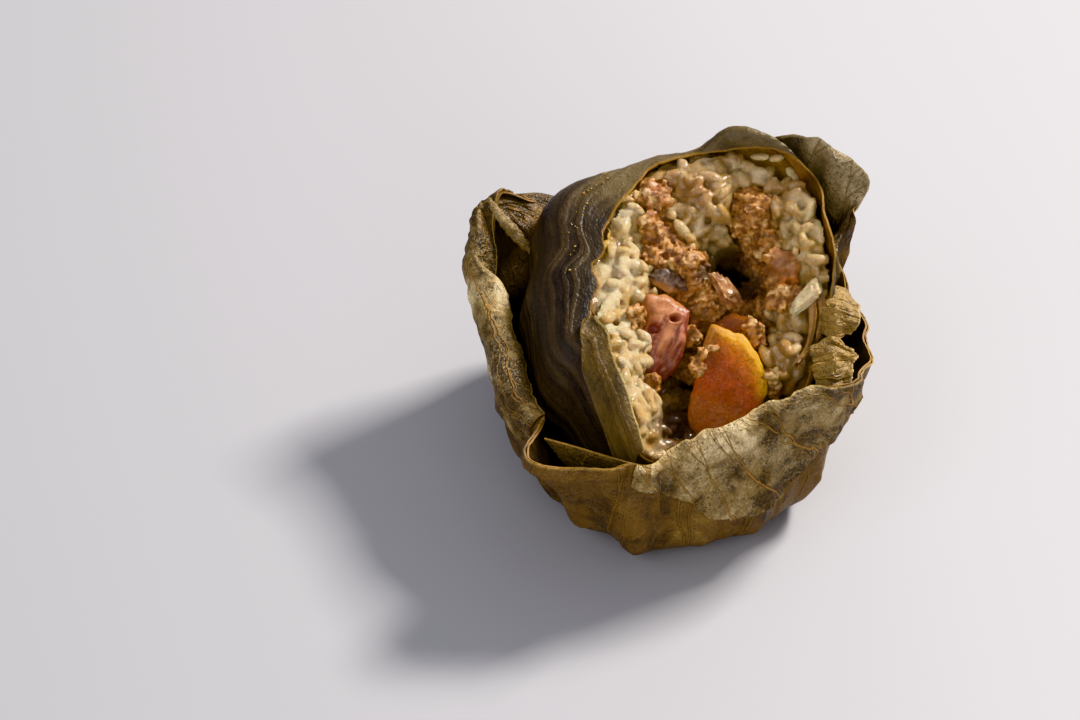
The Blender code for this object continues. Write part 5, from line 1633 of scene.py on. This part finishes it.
# %% Small leaves
def curve_through(points, count):
    """Evenly spaced points on a smooth curve through a few named ones (the first axis)."""
    points = np.asarray(points, dtype=float)
    padded = np.concatenate([2 * points[:1] - points[1:2], points, 2 * points[-1:] - points[-2:-1]])
    found = []
    for place_on in np.linspace(0.0, len(points) - 1.0, count):
        cell = min(int(place_on), len(points) - 2)
        t = place_on - cell
        p0, p1, p2, p3 = padded[cell:cell + 4]
        found.append(0.5 * (2 * p1 + (p2 - p0) * t + (2 * p0 - 5 * p1 + 4 * p2 - p3) * t ** 2
                            + (3 * p1 - p0 - 3 * p2 + p3) * t ** 3))
    return np.array(found)


def patch(rows, along, across):
    """A smooth grid through rows of named points."""
    lengthwise = curve_through(rows, along)
    return np.swapaxes(curve_through(np.swapaxes(lengthwise, 0, 1), across), 0, 1)


TENT = (
    ((-50.4, 21.7, 53), (-47.6, 20.5, 51), (-44.7, 18.5, 49), (-42.1, 16.8, 47), (-39.6, 15.0, 45.4)),
    ((-50.7, 22.8, 54), (-46.5, 26.0, 52), (-43.1, 26.8, 50), (-40.0, 25.1, 49), (-36.6, 22.4, 48)),
    ((-51.2, 23.9, 55), (-47.3, 29.3, 53), (-43.2, 33.4, 50.5), (-38.8, 36.6, 48.5), (-34.8, 36.4, 48.0)),
)
tent = crumple(patch(TENT, 50, 70), 0.7, 1.0, 105)
leaf_piece("leaf_tent", tent, (NEST_SIDE, NEST_SIDE, CUT_EDGE), "leaf_fold", "leaf_fold", pale=0.42)


def rolled(name, named, size, seed, pale):
    """A leaf's edge rolled into a thin tapered tube along named points."""
    turns = np.radians(np.linspace(-30.0, 230.0, 30))
    rows = []
    for point, part in zip(curve_through(named, 64), np.linspace(0.0, 1.0, 64)):
        wide = size * (0.25 + 0.75 * math.sin(math.pi * (0.06 + 0.90 * part)) ** 0.8)
        rows.append([point + wide * (math.cos(a) * np.array((0.62, 0.5, -0.1)) + 0.8 * np.array([0, 0, math.sin(a)]))
                     for a in turns])
    tube = np.array(rows)[::-1]
    waves = 2.6 * np.linalg.norm(tube - tube[:1, :1], axis=-1) + 1.5 * soft_noise(tube, 3.0, seed)
    pleated = 0.22 * size * np.sin(waves)
    tube = crumple(tube + 0.35 * pleated[..., None] * skin_normals(tube), 0.22, 1.0, seed)
    leaf_piece(name, tube, (UNDERSIDE, UPPER_SIDE, CUT_EDGE), "leaf_fold", "leaf_fold", turned=True, pale=pale)


RIGHT_ARM = ((-51.2, 23.9, 55.6), (-47.9, 21.0, 52.4), (-45.0, 18.9, 50.2), (-42.4, 17.1, 48.2), (-40.2, 15.8, 46.4))
CREST_ROW = 88
crest = [outer[column_at(angle), CREST_ROW] + (-0.4, 0.0, 0.5) for angle in (148, 151, 154, 157, 160, 163)]
rolled("leaf_fold_fine", RIGHT_ARM, 1.9, 101, 0.62)
rolled("left_arm", crest, 1.1, 102, 0.40)

PLEAT_TOP = ((-35.2, -44.0, 38.5), (-27.2, -46.2, 38.0), (-19.0, -48.6, 37.5), (-11.6, -50.6, 37.0))
PLEAT_BOTTOM = ((-29.5, -41.0, 27.0), (-24.5, -43.6, 27.0), (-18.5, -46.4, 28.0), (-12.8, -48.6, 29.0))
pleat = np.swapaxes(crumple(patch([PLEAT_BOTTOM, PLEAT_TOP], 26, 70), 0.25, 1.0, 103), 0, 1)
leaf_piece("leaf_pleat_fine", pleat, (UNDERSIDE, UNDERSIDE, CUT_EDGE), "leaf_pleat", "leaf_pleat", pale=0.35)

# Each shred: rows of named points, how wildly it is crumpled, and how dry it is.
SHREDS = (
    ((((28.9, -8.6, 45.6), (33.8, -12.8, 46.6), (37.6, -9.1, 45.6)),
      ((27.9, -5.2, 49.6), (33.5, -7.9, 52.4), (39.5, -6.9, 49.2)),
      ((28.2, -1.2, 50.4), (33.8, -1.6, 52.0), (39.6, -3.0, 49.0)),
      ((28.4, 2.8, 49), (34.1, 5.0, 49), (39.4, 1.0, 47.6))), 0.55, 0.42),
    ((((29.2, -25.7, 42.6), (33.6, -27.4, 43.6), (37.3, -23.7, 43.4)),
      ((27.8, -21.7, 46.4), (33.1, -22.2, 49.2), (38.4, -20.1, 46.2)),
      ((27.6, -17.6, 47.0), (33.0, -17.4, 48.6), (38.4, -17.8, 46.8)),
      ((28.3, -14.2, 45.6), (33.2, -12.9, 47.4), (37.8, -15.1, 46.2))), 1.3, 0.48),
)
for number, (rows, wild, pale) in enumerate(SHREDS):
    shred = patch(rows, 56, 60)
    rim = shred - shred.mean(axis=(0, 1))
    rim = rim / np.linalg.norm(rim, axis=-1, keepdims=True)
    shred = shred + (0.8 * soft_noise(shred, 2.6, 112 + number))[..., None] * rim * (1, 1, 0)
    shred = shred + (wild * (ridged_noise(shred, 4.4, 108 + number) - 0.4))[..., None] * np.array((0, -0.5, 0.8))
    shred = crumple(shred, 0.5 + 0.4 * number, 1.0, 115 + number)
    leaf_piece(f"leaf_shred_fine_{number + 1}", shred, (SHRED_SKIN, SHRED_SKIN, CUT_EDGE),
               f"leaf_shred_{number + 1}", "leaf_shred", 0.3, pale=pale)

# %% [markdown]
# ## Bare veins
#
# Where the leaf tore away at the right, its tough veins stayed: flat golden-brown straps,
# frayed lengthwise, thinner towards their lower ends.

# %% Veins
VEINS = (
    (((27.6, -4.8, 53), (28.0, -7.8, 48.8), (27.6, -11, 44.9), (26.2, -14.4, 43), (24.4, -18, 42.6)), 0.7),
    (((30.0, -4.8, 52.0), (30.2, -7.4, 47.9), (29.4, -10.4, 44.2)), 0.6),
    (((28.2, -14.8, 40.0), (28.0, -18.4, 39.4), (26.8, -22.4, 38.4)), 0.5),
)
VEIN_SKIN = leaf_finish(
    "torn vein", (90, 60, 22), (156, 114, 54), (208, 170, 102), (112, 74, 32), spacing=1.3, rib_width=0.25,
    relief=0.25, specks=0.3, rough=(0.35, 0.5), coat=0.2, streaky=0.8)
ring = np.radians(np.arange(16) * 22.5)
for number, (named, radius) in enumerate(VEINS):
    rows = []
    for point, part in zip(curve_through(named, 70), np.linspace(0.0, 1.0, 70)):
        size = 1.4 * radius * (1.0 - 0.45 * part) * (1.0 + 0.15 * math.sin(9 * part + number))
        rows.append([point - 1.2 * np.array(ahead)
                     + size * np.array([math.cos(a), 0.35 * math.sin(a), math.sin(a)]) for a in ring])
    tube = np.swapaxes(np.array(rows), 0, 1)
    tube = tube + 0.10 * soft_noise(tube * (1, 1, 0.3), 0.6, 120 + number)[..., None]
    leaf_piece(f"vein_{number + 1}", tube, (VEIN_SKIN, VEIN_SKIN, VEIN_SKIN), f"leaf_vein_{number + 1}", "leaf_vein",
               0.25, closed=True)

# %% [markdown]
# ## Loose bits
#
# A strip of clear fat and a slab of meat lie over the mince at its right and its middle.
# A few grains stuck to the golden inside of the leaf at the back, and golden crumbs to its
# left edge, as they do when a parcel is opened.

# %% Loose bits
def loose_piece(name, parts, finish, values, node, square=0.85, rough_by=0.10):
    """Small closed shapes in one piece: middle, half sizes, direction, and a seed."""
    angular = square < 0.8
    joined = bmesh.new()
    for middle, half, way, seed in parts:
        turn = np.array(Vector(way).to_track_quat("X", "Z").to_matrix())

        def shape(ways):
            rough = 1.0 + rough_by * (soft_noise(ways + seed, 0.7, seed) + angular * soft_noise(ways, 0.25, 9))
            squarer = np.sign(ways) * np.abs(ways) ** square
            squarer[:, 0] += 0.5 * (0.85 - square) * squarer[:, 1]
            squarer[:, 1] *= 1.0 - 0.8 * (0.85 - square) * squarer[:, 0]
            return (squarer * rough[:, None] * half) @ turn.T + np.array(middle)

        ball_into(joined, 5 if angular else 3, shape)
    mesh = mesh_from(name, joined)
    store(mesh, **values)
    mesh.shade_smooth()
    stand_for(add_object(name, mesh), node, finish)


CLEAN = dict(crease=0.0, gold=0.0, dark=0.0)
loose_piece("fat_strip", [((26.2, -5.7, 53.4), (4.6, 1.7, 1.2), (-0.68, -0.47, -0.56), 3)], RICE_FINISH,
            dict(CLEAN, tone=1.0, stain=0.1), "mince_filling", 0.5, 0.14)
loose_piece("meat_slab", [((6.7, 0.2, 50.2), (4.8, 2.1, 1.4), (-0.6, 0.52, 0.61), 5)], MINCE_FINISH,
            dict(pink=0.45, orange=0.0, crease=0.15, dark=0.0), "mince_filling", 0.62, 0.24)
STUCK = (((14.6, 29.0, 68.8), 2.6, (0.8, -0.4, 0.3)), ((18.4, 27.2, 70.0), 2.2, (0.7, -0.5, 0.5)),
         ((22.6, 25.0, 66.6), 2.5, (0.5, -0.7, -0.4)), ((25.2, 21.6, 63.6), 2.8, (0.2, -0.6, -0.8)))
stuck = [(middle, (length, 1.2, 0.9), way, seed) for seed, (middle, length, way) in enumerate(STUCK)]
loose_piece("stuck_grains", stuck, RICE_FINISH, dict(CLEAN, tone=0.8, stain=0.25), "rice")
CRUMB_LINE = ((-22.6, 27.6, 61.6), (-24.7, 25.3, 61.3), (-27.5, 21.2, 60.4), (-29.1, 14.6, 59.6), (-30.1, 6.9, 57.9),
              (-30.1, 0.3, 56.5))
dice = random.Random(4)
crumbs_on = []
for spot in curve_through(CRUMB_LINE, 26):
    spot = spot + np.array([dice.gauss(0, 1.0), dice.gauss(0, 1.6), 0.0])
    on_leaf, normal, _, _ = INNER_TREE.find_nearest(spot)
    size = dice.uniform(0.12, 0.34)
    middle = np.array(on_leaf) + 0.3 * size * np.array(normal)
    crumbs_on.append((middle, (size, 0.8 * size, 0.7 * size), (1.0, 0.2, 0.0), 7))
loose_piece("crumbs_on_leaf", crumbs_on, RICE_FINISH, dict(CLEAN, tone=0.4, stain=0.7, gold=0.15), "rice")
